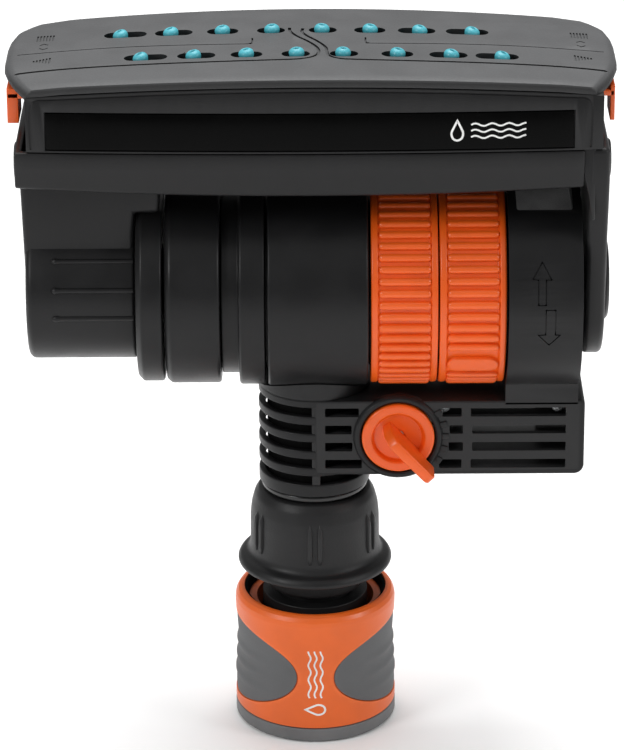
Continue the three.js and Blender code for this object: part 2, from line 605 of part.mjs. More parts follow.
function lowerShell() {
  const skirt = loftX(stationsBetween(HEAD_LEFT + 0.3, SKIRT_RIGHT, 6), (x) => {
    const y = halfDepth(x);
    const low = skirtBottom(x);
    return [[-y, SPLIT_Z], [-y, 154], [-y + 0.8, low], [y - 0.8, low], [y, 154], [y, SPLIT_Z]];
  });
  const tray = loftX(stationsBetween(HEAD_LEFT + 0.3 + HEAD_WALL, SKIRT_RIGHT - HEAD_WALL, 6), (x) => {
    const y = halfDepth(x) - HEAD_WALL;
    const low = skirtBottom(x) + HEAD_WALL;
    return [[-y, SPLIT_Z + 1], [-y, 154], [-y + 0.8, low], [y - 0.8, low], [y, 154], [y, SPLIT_Z + 1]];
  });
  const armBody = turnedX([
    [0, ARM_SPAN[0]], [ARM_R - 0.9, ARM_SPAN[0]], [ARM_R, ARM_SPAN[0] + 0.9], [ARM_R, ARM_SPAN[1]], [0, ARM_SPAN[1]],
  ]).translate([0, 0, AXIS_Z]);
  const riser = prismY([
    [ARM_SPAN[0], AXIS_Z], [-69.5, 148.5], [-36.5, 148.5], [-36.5, 138], [ARM_SPAN[1], 138], [ARM_SPAN[1], AXIS_Z],
  ], [-13, 13]);
  const axleBore = turnedX([[0, -54.5], [AXLE_R + 0.35, -54.5], [AXLE_R + 0.35, -41], [0, -41]], 20).translate([0, 0, AXIS_Z]);
  const sealSeat = turnedX([[0, -46.6], [10.6, -46.6], [10.6, -41], [0, -41]], 20).translate([0, 0, AXIS_Z]);
  const duct = turnedZ([[0, AXIS_Z], [3.2, AXIS_Z], [3.2, 150], [0, 150]], 12).translate([DUCT_X, 0, 0]);
  const capHole = turnedX([[0, -72], [2.4, -72], [2.4, -60], [0, -60]], 10).translate([0, 0, 146.8]);
  const ribs = [];
  for (let i = 0; i < 4; i++) {
    const rib = prismX(circle(0, 0, 0.55, 8), [-61.6, ARM_SPAN[1]]).translate([0, 0, ARM_R]);
    ribs.push(rib.rotate([RIB_FIRST + i * RIB_PITCH, 0, 0]).translate([0, 0, AXIS_Z]));
  }
  return cut(union(cut(skirt, tray), armBody, riser, ribs), axleBore, sealSeat, duct, capHole);
}

function armCollar() {
  const collar = turnedX([
    [AXLE_R + 0.35, -42.3], [23.4, -42.3], [24.3, -41.4], [24.3, -36], [AXLE_R + 0.35, -36],
  ]);
  return cut(collar, box([-50, -30], [-30, 30], [138 - AXIS_Z - GAP, 40]));
}

const axleSeal = () => turnedX([[AXLE_R + 0.1, -46.3], [10.3, -46.3], [10.3, -42.7], [AXLE_R + 0.1, -42.7]], 20);

const LABEL_X = [-62, 60.6];
const LABEL_Z = [158.6, 167.5];
const HANDLE_Y = [-13, -3];
const HANDLE_NOTCH = [HANDLE_Y[0] - 1, HANDLE_Y[1] + SLIDER_TRAVEL + 1];
const SHELL_BOTTOM = SPLIT_Z + GAP;

function upperShell() {
  const outer = loftX(stationsBetween(UPPER_LEFT, ARM_RIGHT, 6), (x) => {
    const y = halfDepth(x);
    return [[-y, wallTop(x)], [-y, SHELL_BOTTOM], [y, SHELL_BOTTOM], [y, wallTop(x)]];
  });
  const inner = loftX(stationsBetween(UPPER_LEFT + HEAD_WALL, ARM_LEFT, 6), (x) => {
    const y = halfDepth(x) - HEAD_WALL;
    return [[-y, 180], [-y, 150], [y, 150], [y, 180]];
  });
  const arm = prismX([
    ...arc(0, AXIS_Z, 18, 200, 340, 12), [21, 135], [24.2, 147], [24.2, 160], [-24.2, 160], [-24.2, 147], [-21, 135],
  ], [ARM_LEFT, ARM_RIGHT]);
  const label = loftX(stationsBetween(LABEL_X[0] - GAP, LABEL_X[1] + GAP, 8), (x) => {
    const y = halfDepth(x) - 1;
    return [[-y, LABEL_Z[1] + GAP], [-y - 9, LABEL_Z[1] + GAP], [-y - 9, LABEL_Z[0] - GAP], [-y, LABEL_Z[0] - GAP]];
  });
  const notches = [box([-80, -60], HANDLE_NOTCH, [166.2, 190]), box([60, 80], HANDLE_NOTCH, [166.2, 190])];
  const shaftHole = turnedX([[0, 60], [4.3, 60], [4.3, 72], [0, 72]], 12).translate([0, 0, AXIS_Z]);
  const capHole = turnedX([[0, 60], [2.4, 60], [2.4, 72], [0, 72]], 10).translate([0, 0, 146.8]);
  return cut(union(cut(outer, inner), arm), label, notches, shaftHole, capHole);
}

function namePlate() {
  return loftX(stationsBetween(...LABEL_X, 8), (x) => {
    const y = halfDepth(x);
    return [[-y + 0.7, LABEL_Z[1]], [-y + 0.05, LABEL_Z[1]], [-y + 0.05, LABEL_Z[0]], [-y + 0.7, LABEL_Z[0]]];
  });
}

// Every nozzle: its name, tip, row, side and how far out it is, counted from the middle.
const nozzles = [['front', FRONT_TIPS, FRONT_ROW_Y], ['back', BACK_TIPS, BACK_ROW_Y]].flatMap(([row, tips, y]) => tips.map((tipX, i) => {
  const side = i < 4 ? -1 : 1;
  const rank = i < 4 ? 3 - i : i - 4;
  const lean = NOZZLE_LEAN[rank];
  const baseX = tipX - side * NOZZLE_LENGTH * Math.sin(radians(lean));
  return { name: `nozzle_${row}_${i + 1}`, tipX, y, side, rank, lean, baseX };
}));

function topCover() {
  const section = (x, inset) => {
    const y = halfDepth(x) - inset;
    const edge = coverEdge(x) - inset;
    const middle = coverMiddle(x) - inset;
    const low = inset ? edge - 9 : edge - COVER_EDGE_HEIGHT;
    return [[-y, low], [-y, edge - 0.6], [-y + 0.8, edge], [-14, Math.max(middle, edge)], [14, Math.max(middle, edge)],
      [y - 0.8, edge], [y, edge - 0.6], [y, low]];
  };
  const outer = loftX(stationsBetween(COVER_LEFT, COVER_RIGHT, 10), (x) => section(x, 0));
  const inner = loftX(stationsBetween(COVER_LEFT + 1.6, COVER_RIGHT - 1.6, 10), (x) => section(x, 1.7));
  const slots = nozzles.map(({ tipX, y, side, rank }) => {
    const outwards = tipX + side * 1.4;
    const inwards = tipX - side * TIP_ROOM[rank];
    return prismZ(slotOutline([Math.min(outwards, inwards), y], [Math.max(outwards, inwards), y], 2.1), [165, 180]);
  });
  return cut(outer, inner, slots);
}

const CHANNEL_X = [-51, 49.6];

function nozzleChannel() {
  const body = box(CHANNEL_X, [-14, 10.6], [158.4, 169.6]);
  const inside = box([CHANNEL_X[0] + 1.5, CHANNEL_X[1] - 1.5], [-12.5, 9.1], [159.9, 168.1]);
  const inlet = turnedZ([[0, 150.2], [4.6, 150.2], [4.6, 165], [0, 165]], 16).translate([DUCT_X, 0, 0]);
  const bore = turnedZ([[0, 149], [3.2, 149], [3.2, 164], [0, 164]], 12).translate([DUCT_X, 0, 0]);
  const jets = nozzles.map(({ baseX, y }) => prismZ(circle(baseX, y, 0.8, 6), [165, 171]));
  return cut(union(body, inlet), inside, bore, jets);
}

function nozzle() {
  return turnedZ([
    [0.5, -0.9], [1.4, -0.9], [1.2, 3.6], [TIP_R, 4.2], [TIP_R, 5.4], [0.8, NOZZLE_LENGTH], [0.5, NOZZLE_LENGTH],
  ], 8);
}

// A slider's plate has one oblique slot for each of its nozzles, which it pushes inwards.
function widthSlider(side) {
  const inX = side < 0 ? -0.95 : -0.45;
  const outX = side < 0 ? -53.5 : 52.1;
  const spanX = (a, b) => [Math.min(a, b), Math.max(a, b)];
  const thick = [SLIDER_Z, SLIDER_Z + 1.2];
  const plate = union(box(spanX(inX, outX), [-15, 10], thick), box(spanX(inX, outX - side * 9), [-21.5, -14], thick));
  const step = box(spanX(outX, outX + side * -1.4), [-12, 6], [166.9, SLIDER_Z + 1]);
  const handleOut = side < 0 ? -71.7 : 70.9;
  const neck = box(spanX(outX + side * -1.4, handleOut), HANDLE_Y, [166.9, 168.4]);
  const thickness = side < 0 ? 2.7 : 1.1;
  const handle = box(spanX(handleOut, handleOut - side * thickness), HANDLE_Y, [159.6, 168.4]);
  const slots = nozzles.filter((one) => one.side === side).map(({ baseX, y, lean, rank }) => {
    const height = SLIDER_Z + 0.6 - NOZZLE_PIVOT_Z;
    const turned = lean - THREE.MathUtils.radToDeg(nozzleTravel(rank));
    const from = baseX + side * height * Math.tan(radians(lean));
    const to = baseX + side * height * Math.tan(radians(turned));
    return prismZ(slotOutline([from, y], [to, y - SLIDER_TRAVEL], 1.75), [170, 176]);
  });
  return union(cut(plate, slots), step, neck, handle);
}

// How far, in radians, each nozzle turns inwards over the slider's travel.
function nozzleTravel(rank) {
  return (TIP_ROOM[rank] - 0.4) / NOZZLE_LENGTH;
}

add(head, 'lower_shell', lowerShell(), plastic(BLACK));
add(head, 'upper_shell', upperShell(), plastic(BLACK));
add(head, 'name_plate', namePlate(), plastic(GLOSS_BLACK, 0.15));
add(head, 'top_cover', topCover(), plastic(COVER_GREY, 0.65));
add(head, 'nozzle_channel', nozzleChannel(), plastic(BLACK));
const headDrum = group(head, 0, 0, AXIS_Z);
add(headDrum, 'arm_collar', armCollar(), plastic(BLACK));
add(headDrum, 'axle_seal', axleSeal(), plastic(GLOSS_BLACK));
add(headDrum, 'pivot_cap', turnedX([
  [0, 62], [1.3, 62], [1.3, 69.7], [10, 69.7], [10, 70.4], [9.2, 71], [0, 71.2],
], 24), plastic(BLACK));
const bosses = group(head, 0, 0, 146.8);
add(bosses, 'end_cap_left', turnedX([[0, -66], [2, -66], [2, -70.3], [5, -70.3], [4.6, -71], [3.6, -71.4], [0, -71.4]], 16), plastic(BLACK));
add(bosses, 'end_cap_right', turnedX([[0, 66], [2, 66], [2, 69.7], [5, 69.7], [4.6, 70.6], [3.6, 71.2], [0, 71.2]], 16), plastic(BLACK));
add(head, 'width_slider_left', widthSlider(-1), plastic(ORANGE, 0.45));
add(head, 'width_slider_right', widthSlider(1), plastic(ORANGE, 0.45));
for (const { name, y, side, lean, baseX } of nozzles) {
  const mesh = add(head, name, nozzle(), plastic(TEAL, 0.5));
  mesh.position.set(baseX, y, NOZZLE_PIVOT_Z);
  mesh.rotation.y = side * radians(lean);
}

export default sprinkler;
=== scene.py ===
"""Fine visual model of the oscillating sprinkler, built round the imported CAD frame.

Sizes here are in millimetres, and mesh_object turns them into metres. X runs along the swing axis,
-Y faces the front and Z runs up the inlet. Each piece rides on a body of the frame and replaces the
CAD node that it shows.
"""

import json
import math

import bmesh
import bpy
from mathutils import Matrix, Vector


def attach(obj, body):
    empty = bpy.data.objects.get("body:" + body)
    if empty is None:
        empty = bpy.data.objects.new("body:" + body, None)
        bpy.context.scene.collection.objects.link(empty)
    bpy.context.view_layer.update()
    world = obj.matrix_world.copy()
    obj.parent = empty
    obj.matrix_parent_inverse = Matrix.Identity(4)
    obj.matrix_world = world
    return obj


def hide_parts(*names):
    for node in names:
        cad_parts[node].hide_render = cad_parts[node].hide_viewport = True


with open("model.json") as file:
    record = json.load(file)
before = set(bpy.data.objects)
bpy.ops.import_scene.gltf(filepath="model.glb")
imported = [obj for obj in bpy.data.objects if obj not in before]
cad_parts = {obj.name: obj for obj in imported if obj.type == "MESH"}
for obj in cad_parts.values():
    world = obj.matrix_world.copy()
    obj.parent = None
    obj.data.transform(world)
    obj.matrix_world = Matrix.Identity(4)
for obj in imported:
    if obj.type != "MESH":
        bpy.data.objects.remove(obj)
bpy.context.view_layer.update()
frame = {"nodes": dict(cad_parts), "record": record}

MM = 0.001

# ---------------------------------------------------------------- sizes, in millimetres
AXIS_Z = 115.9
DRUM_R = 25.5
HOUSING_R = 26
RING_RIB_R = 24.8
RING_RIBS = 54
COLUMN_R = 13.6
VENT_ROWS = [68.4 + 4.53 * i for i in range(5)]
VENT_HALF = 1.15
KNOB = (20.3, 80.2)
KNOB_R = 8.8
LEVER_ANGLE = -47
SPLIT_Z = 157.6
HEAD_LEFT, SKIRT_RIGHT = -69.7, 63.4
UPPER_LEFT = -68.4
COVER_TOP = 176.9
SHELF_RIGHT = 65.5
ARM_LEFT, ARM_RIGHT = 64.5, 69.4
COVER_ENDS = (-72.5, 71.7)
END_ROUND = 2.4
FRONT_ROW_Y, BACK_ROW_Y = -10.5, 7.1
PIVOT_Z, NOZZLE_LENGTH = 171.6, 6.75
SLIDER_Z = 172
LEAN = [5, 10.5, 16, 21]
ROOM = [1.2, 2, 3.5, 4.7]
FRONT_TIPS = [-40.7, -28.2, -15.7, -3.8, 7.3, 20.2, 32.9, 44.9]
BACK_TIPS = [-46.1, -34.0, -21.6, -9.7, 2.4, 14.0, 25.9, 38.5]
SEGMENTS = 128


def half_depth(x):
    return 26.8 - 1.8 * (x / 64) ** 2


def cover_edge(x):
    return COVER_TOP - 0.8 - 2.4 * (x / 64) ** 2


def crown(x):
    """How far the cover's middle line falls away from its highest point."""
    return 2.0 * (x / 64) ** 2


def cover_middle(x):
    return max(cover_edge(x), COVER_TOP - crown(x))


def cover_top(x, y):
    """Height of the cover's surface: flat in the middle band, sloping to the edges."""
    share = max(0, abs(y) - 14) / (half_depth(x) - 14.8)
    return cover_middle(x) + (cover_edge(x) - cover_middle(x)) * min(1, share)


def skirt_bottom(x):
    return 146.6 + 1.3 * (x / 64) ** 2


# ---------------------------------------------------------------- mesh tools
def mesh_object(name, verts, faces):
    mesh = bpy.data.meshes.new(name)
    mesh.from_pydata([[c * MM for c in v] for v in verts], [], faces)
    made = bpy.data.objects.new(name, mesh)
    bpy.context.scene.collection.objects.link(made)
    tidy(made)
    return made


def tidy(made):
    """Merges doubled points and turns every face outwards."""
    bm = bmesh.new()
    bm.from_mesh(made.data)
    bmesh.ops.remove_doubles(bm, verts=bm.verts, dist=1e-7)
    bmesh.ops.recalc_face_normals(bm, faces=bm.faces)
    bm.to_mesh(made.data)
    bm.free()


def rounded(profile, radius, steps=4):
    """Rounds the corners of a closed outline, with a smaller radius where an edge is short."""
    points = []
    count = len(profile)
    for i, here in enumerate(profile):
        here = Vector(here)
        before = Vector(profile[i - 1]) - here
        after = Vector(profile[(i + 1) % count]) - here
        reach = min(radius, 0.45 * before.length, 0.45 * after.length)
        if here.x < 1e-6 or reach < 1e-3:
            points.append(tuple(here))
            continue
        first, last = here + before.normalized() * reach, here + after.normalized() * reach
        for k in range(steps + 1):
            t = k / steps
            points.append(tuple(first * (1 - t) ** 2 + here * 2 * t * (1 - t) + last * t ** 2))
    return points


TURN = {
    "X": lambda r, h, t: (h, r * math.cos(t), r * math.sin(t)),
    "Y": lambda r, h, t: (r * math.sin(t), h, r * math.cos(t)),
    "Z": lambda r, h, t: (r * math.cos(t), r * math.sin(t), h),
}


def lathe(name, profile, axis="Z", centre=(0, 0, 0), fillet=0.3, segments=SEGMENTS):
    """Turns a closed profile of (radius, height) points round an axis."""
    outline = rounded(profile, fillet) if fillet else profile
    verts, rings = [], []
    for r, h in outline:
        steps = 1 if r < 1e-6 else segments
        rings.append([len(verts) + k for k in range(steps)])
        for k in range(steps):
            spot = TURN[axis](r, h, 2 * math.pi * k / segments)
            verts.append([a + c for a, c in zip(spot, centre)])
    faces = []
    for i, ring in enumerate(rings):
        other = rings[(i + 1) % len(rings)]
        for k in range(segments):
            corners = [ring[k % len(ring)], other[k % len(other)],
                       other[(k + 1) % len(other)], ring[(k + 1) % len(ring)]]
            face = list(dict.fromkeys(corners))
            if len(face) > 2:
                faces.append(face)
    return mesh_object(name, verts, faces)


LAY = {"X": lambda a, b, d: (d, a, b), "Y": lambda a, b, d: (a, d, b), "Z": lambda a, b, d: (a, b, d)}


def prism(name, outline, axis, low, high):
    """Pushes an outline along an axis, from low to high."""
    count = len(outline)
    verts = [LAY[axis](a, b, d) for d in (low, high) for a, b in outline]
    faces = [list(range(count)), list(range(count, 2 * count))]
    faces += [[i, (i + 1) % count, count + (i + 1) % count, count + i] for i in range(count)]
    return mesh_object(name, verts, faces)


def block(name, xs, ys, zs):
    return prism(name, [(xs[0], ys[0]), (xs[1], ys[0]), (xs[1], ys[1]), (xs[0], ys[1])], "Z", *zs)


def loft(name, stations, outline_at):
    """A solid through outlines in YZ, one at each X. All have the same number of points."""
    rings = [[(x, y, z) for y, z in outline_at(x)] for x in stations]
    count = len(rings[0])
    verts = [p for ring in rings for p in ring]
    faces = [list(range(count)), list(range(len(verts) - count, len(verts)))]
    for s in range(len(rings) - 1):
        for i in range(count):
            j = (i + 1) % count
            faces.append([s * count + i, s * count + j, (s + 1) * count + j, (s + 1) * count + i])
    return mesh_object(name, verts, faces)


def spread(low, high, count):
    return [low + (high - low) * i / count for i in range(count + 1)]


def arc(x, y, r, start, end, steps):
    """Points on a circle, with the angles in degrees."""
    turns = [math.radians(start + (end - start) * i / steps) for i in range(steps + 1)]
    return [(x + r * math.cos(t), y + r * math.sin(t)) for t in turns]


def stadium(start, end, r, steps=10):
    angle = math.degrees(math.atan2(end[1] - start[1], end[0] - start[0]))
    return arc(*end, r, angle - 90, angle + 90, steps) + arc(*start, r, angle + 90, angle + 270, steps)


def smooth_path(points, steps=8):
    """A Catmull-Rom curve through points in a plane."""
    path = []
    for i in range(len(points) - 1):
        a, b = Vector(points[max(0, i - 1)]), Vector(points[i])
        c, d = Vector(points[i + 1]), Vector(points[min(len(points) - 1, i + 2)])
        for k in range(steps):
            t = k / steps
            path.append(0.5 * (2 * b + (c - a) * t + (2 * a - 5 * b + 4 * c - d) * t ** 2
                               + (3 * b - a - 3 * c + d) * t ** 3))
    path.append(Vector(points[-1]))
    return path


def ribbon(name, path, width, place, low, high, closed=False):
    """A bar that follows a path on a surface. place(u, v, height) gives the point in space."""
    verts, faces = [], []
    count = len(path)
    for i, here in enumerate(path):
        before = path[i - 1] if closed or i else here
        after = path[(i + 1) % count] if closed or i + 1 < count else here
        along = (after - before).normalized()
        turn = abs((here - before).normalized().dot(along)) if i or closed else 1
        side = Vector((-along.y, along.x)) * width / 2 / max(0.5, turn)
        for point, height in ((here + side, low), (here - side, low), (here - side, high),
                              (here + side, high)):
            verts.append(place(point.x, point.y, height))
    for i in range(count if closed else count - 1):
        for k in range(4):
            a, b = 4 * i + k, 4 * i + (k + 1) % 4
            faces.append([a, b, (b + 4) % (4 * count), (a + 4) % (4 * count)])
    if not closed:
        faces += [[0, 1, 2, 3], [4 * count - 4 + k for k in range(4)]]
    return mesh_object(name, verts, faces)


def water_mark(place, u, v, upright=False):
    """A plain drop and three waves. Its length runs along u, or along v when upright."""
    def lay(points):
        return [(u - b, v + a) if upright else (u + a, v + b) for a, b in points]

    drop = [(0, 2.5), (0.75, 1.0), (1.35, -0.5), (1.0, -1.8), (0, -2.3), (-1.0, -1.8), (-1.35, -0.5),
            (-0.75, 1.0)]
    loop = smooth_path(lay(drop + drop[:1]), 6)[:-1]
    parts = [ribbon("drop", loop, 0.5, place, -0.12, 0.005, closed=True)]
    for row in (-1.5, 0, 1.5):
        wave = [(3.2 + 0.8 * i, row + 0.32 * math.sin(0.8 * i * 1.6)) for i in range(17)]
        parts.append(ribbon("wave", smooth_path(lay(wave), 3), 0.42, place, -0.12, 0.005))
    return parts


def on_cover(u, v, height):
    return (u, v, cover_top(u, v) + height)


def on_drum(u, v, height):
    """u is X, v the height above the swing axis as an arc on the gear housing's front."""
    turn, r = v / HOUSING_R, HOUSING_R + height
    return (u, -r * math.cos(turn), AXIS_Z + r * math.sin(turn))


def on_front(u, v, height):
    return (u, -half_depth(u) - height, v)


def join(name, objects):
    """Puts several meshes in one new object."""
    bm = bmesh.new()
    for one in objects:
        bm.from_mesh(one.data)
        bpy.data.objects.remove(one)
    mesh = bpy.data.meshes.new(name)
    bm.to_mesh(mesh)
    bm.free()
    made = bpy.data.objects.new(name, mesh)
    bpy.context.scene.collection.objects.link(made)
    return made


def settle(made):
    """Applies the modifiers."""
    bpy.context.view_layer.update()
    graph = bpy.context.evaluated_depsgraph_get()
    mesh = bpy.data.meshes.new_from_object(made.evaluated_get(graph))
    made.modifiers.clear()
    made.data = mesh
    return made


def boolean(made, tools, operation="DIFFERENCE"):
    for tool in tools:
        step = made.modifiers.new("cut", "BOOLEAN")
        step.operation, step.object, step.solver = operation, tool, "EXACT"
        step.use_self = True
        step.use_hole_tolerant = True
    settle(made)
    for tool in tools:
        bpy.data.objects.remove(tool)
    return made


def soften(made, width=0.25, segments=3, angle=38):
    """Rounds the edges by a small radius."""
    step = made.modifiers.new("soft_edge", "BEVEL")
    step.width, step.segments, step.limit_method = width * MM, segments, "ANGLE"
    step.angle_limit = math.radians(angle)
    step.harden_normals = False
    return settle(made)


def piece(made, body, nodes, material, crease=40):
    """Gives a finished object its material, its body and the nodes it replaces."""
    made.data.materials.clear()
    made.data.materials.append(material)
    made.data.shade_smooth()
    made.data.set_sharp_from_angle(angle=math.radians(crease))
    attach(made, body)
    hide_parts(*nodes)
    return made


def moved(made, matrix):
    made.data.transform(matrix)
    return made


def at(x, y, z):
    return Matrix.Translation(Vector((x, y, z)) * MM)


# ---------------------------------------------------------------- materials
def plastic(name, colour, roughness, grain=0.35, bump=0.12, mottle=0.12, edge_highlight=0.25, coat=0.0, shine=0.5,
            shaded_sides=None):
    """Moulded plastic: fine grain, slow mottling, and a painted highlight on sharp edges. Sizes are in mm.

    With shaded sides, faces that do not look upwards take that second colour as painted shade.
    """
    material = bpy.data.materials.new(name)
    material.use_nodes = True
    nodes, links = material.node_tree.nodes, material.node_tree.links
    shader = nodes["Principled BSDF"]
    shader.inputs["Coat Weight"].default_value = coat
    shader.inputs["Coat Roughness"].default_value = 0.08
    shader.inputs["Specular IOR Level"].default_value = shine
    coordinates = nodes.new("ShaderNodeTexCoord")
    place = coordinates.outputs["Object"]

    def noise(size, detail):
        made = nodes.new("ShaderNodeTexNoise")
        made.inputs["Scale"].default_value = 1 / (size * MM)
        made.inputs["Detail"].default_value = detail
        links.new(place, made.inputs["Vector"])
        return made.outputs["Fac"]

    def ramp(source, low, high, span=(0.35, 0.65)):
        made = nodes.new("ShaderNodeMapRange")
        for key, value in (("From Min", span[0]), ("From Max", span[1]), ("To Min", low), ("To Max", high)):
            made.inputs[key].default_value = value
        links.new(source, made.inputs["Value"])
        return made.outputs["Result"]

    def mix(factor, first, second):
        made = nodes.new("ShaderNodeMix")
        made.data_type = "RGBA"
        links.new(factor, made.inputs["Factor"])
        for socket, value in ((made.inputs[6], first), (made.inputs[7], second)):
            if isinstance(value, bpy.types.NodeSocket):
                links.new(value, socket)
            else:
                socket.default_value = (*value, 1)
        return made.outputs[2]

    slow, fine = noise(9, 3), noise(grain, 4)
    dark = [c * (1 - mottle) for c in colour]
    light = [min(1, c * (1 + mottle)) for c in colour]
    # Painted highlight: sharp edges, found by pointiness, are mixed towards this lighter colour.
    highlight_colour = [min(1, c * 1.5 + 0.035) for c in colour]
    edge = nodes.new("ShaderNodeNewGeometry").outputs["Pointiness"]
    body = mix(ramp(slow, 0, 1), dark, light)
    # Painted shade: faces whose normal turns away from up are mixed towards the second, darker colour.
    if shaded_sides:
        facing = nodes.new("ShaderNodeSeparateXYZ")
        links.new(coordinates.outputs["Normal"], facing.inputs[0])
        body = mix(ramp(facing.outputs["Z"], 0, 1, (0.25, 0.65)), shaded_sides, body)
    links.new(mix(ramp(edge, 0, edge_highlight, (0.52, 0.62)), body, highlight_colour), shader.inputs["Base Color"])
    rough = nodes.new("ShaderNodeMath")
    rough.operation = "ADD"
    links.new(ramp(slow, roughness - 0.05, roughness + 0.03), rough.inputs[0])
    links.new(ramp(fine, -0.04, 0.04), rough.inputs[1])
    links.new(rough.outputs[0], shader.inputs["Roughness"])
    relief = nodes.new("ShaderNodeBump")
    relief.inputs["Strength"].default_value = bump
    relief.inputs["Distance"].default_value = 0.1 * MM
    links.new(fine, relief.inputs["Height"])
    links.new(relief.outputs["Normal"], shader.inputs["Normal"])
    return material


def metal(name, colour):
    material = plastic(name, colour, 0.3, grain=0.2, bump=0.05, mottle=0.06)
    material.node_tree.nodes["Principled BSDF"].inputs["Metallic"].default_value = 1
    return material


BLACK = plastic("black_body", (0.0085, 0.0085, 0.009), 0.4, grain=0.3, bump=0.22, shine=0.26)
ADAPTER_BLACK = plastic("adapter_matt", (0.0095, 0.0095, 0.01), 0.46, grain=0.45, bump=0.35, shine=0.32)
# The cover's faces that do not look upwards, such as its front edge and slot walls, take near-black painted
# shade.
COVER_GREY = plastic("cover_grained", (0.068, 0.069, 0.071), 0.55, grain=0.55, bump=0.55, mottle=0.07,
                     shine=0.35,
                     shaded_sides=(0.009, 0.009, 0.0095))
ORANGE = plastic("orange_moulded", (0.79, 0.103, 0.006), 0.36, grain=0.5, bump=0.08, mottle=0.04, edge_highlight=0.15)
SLEEVE_ORANGE = plastic("orange_sleeve", (0.77, 0.125, 0.012), 0.40, grain=0.4, bump=0.12, mottle=0.04,
                        edge_highlight=0.12)
GREY = plastic("grey_moulded", (0.14, 0.143, 0.146), 0.5, grain=0.4, bump=0.2)
SOFT_GREY = plastic("grey_soft_grip", (0.108, 0.110, 0.113), 0.68, grain=0.3, bump=0.4, mottle=0.06)
TEAL = plastic("teal_elastomer", (0.06, 0.37, 0.44), 0.42, grain=0.3, bump=0.12, mottle=0.06, edge_highlight=0.2)
GLOSS = plastic("label_gloss", (0.0012, 0.0012, 0.0012), 0.22, grain=0.8, bump=0.02, edge_highlight=0.05, shine=0.05)
SEAL = plastic("seal_gloss", (0.008, 0.008, 0.008), 0.2, grain=0.6, bump=0.05)
# Painted shade: a near-black matt colour for parts seen only in shadow through gaps and slots; it is also
# the black rubber colour.
SHADE = plastic("black_and_painted_shade", (0.0015, 0.0015, 0.0015), 0.7, edge_highlight=0.05, shine=0.05)
CREAM = plastic("acetal", (0.7, 0.68, 0.6), 0.4)
STEEL = metal("bright_steel", (0.56, 0.57, 0.58))
PRINT = plastic("pale_print", (0.72, 0.72, 0.7), 0.5, grain=0.3, bump=0.05)

SLOT_LOOK = {
    "black_plastic": BLACK, "adapter_black": ADAPTER_BLACK, "cover_grey": COVER_GREY,
    "orange_plastic": ORANGE,
    "grey_plastic": GREY, "grey_soft": SOFT_GREY, "teal_rubber": TEAL, "gloss_black": SEAL,
    "black_rubber": SHADE, "cream_plastic": CREAM, "steel": STEEL,
}


def carried_nodes():
    """Every CAD node that stays gets its material and a softened edge."""
    for row in frame["record"]["subparts"]:
        node = frame["nodes"][row["node"]]
        # The water and axle tubes, seen only through gaps, take the SHADE colour as painted shade.
        look = SHADE if row["node"] in ("water_tube", "axle_tube") else SLOT_LOOK[row["material_slot"]]
        node.data.materials.clear()
        node.data.materials.append(look)
        step = node.modifiers.new("soft_edge", "BEVEL")
        step.width, step.segments, step.limit_method = 0.12 * MM, 2, "ANGLE"
        step.angle_limit = math.radians(40)


# ---------------------------------------------------------------- quick coupling
PAD = {"height": 17.2, "angle": 76, "half": 10.8}


def sleeve_radius(z):
    """Outside of the sleeve: widest at the bottom, waisted, and wide again under the rim."""
    return 19.98 - 0.62 * math.exp(-(((z - 20) / 7.5) ** 2))


def wrapped(name, middle, angle, half, outer, inner, around=96, rings=28):
    """An oval patch on the sleeve. outer(s, u, z) gives its radius, s being 1 at its rim."""
    verts, faces = [], []
    per = 1 + rings * around
    for layer in (outer, inner):
        for ring in range(rings + 1):
            s = ring / rings
            for k in range(around if ring else 1):
                turn = 2 * math.pi * k / around
                u, z = s * math.cos(turn), PAD["height"] + half * s * math.sin(turn)
                a = math.radians(middle + angle * u)
                r = layer(s, u, z)
                verts.append((r * math.cos(a), r * math.sin(a), z))

    def index(layer, ring, k):
        return layer * per + (0 if ring == 0 else 1 + (ring - 1) * around + k % around)

    for layer in (0, 1):
        for k in range(around):
            faces.append([index(layer, 0, 0), index(layer, 1, k), index(layer, 1, k + 1)])
            for ring in range(1, rings):
                faces.append([index(layer, ring, k), index(layer, ring + 1, k),
                              index(layer, ring + 1, k + 1), index(layer, ring, k + 1)])
    for k in range(around):
        faces.append([index(0, rings, k), index(0, rings, k + 1), index(1, rings, k + 1),
                      index(1, rings, k)])
    return mesh_object(name, verts, faces)


def pad_surface(s, u, z):
    """Crowned pad with three shallow ridges, which fade towards its tips."""
    crown = sleeve_radius(z) + 0.1 - 0.35 * s ** 10
    fade = max(0, 1 - (abs(u) / 0.72) ** 6) * max(0, 1 - s ** 8)
    wave = sum(math.exp(-(((z - PAD["height"] - c) / 1.0) ** 2)) for c in (-5.2, -1.2, 2.8))
    return min(20, crown + 0.42 * wave * fade - 0.22 * fade)


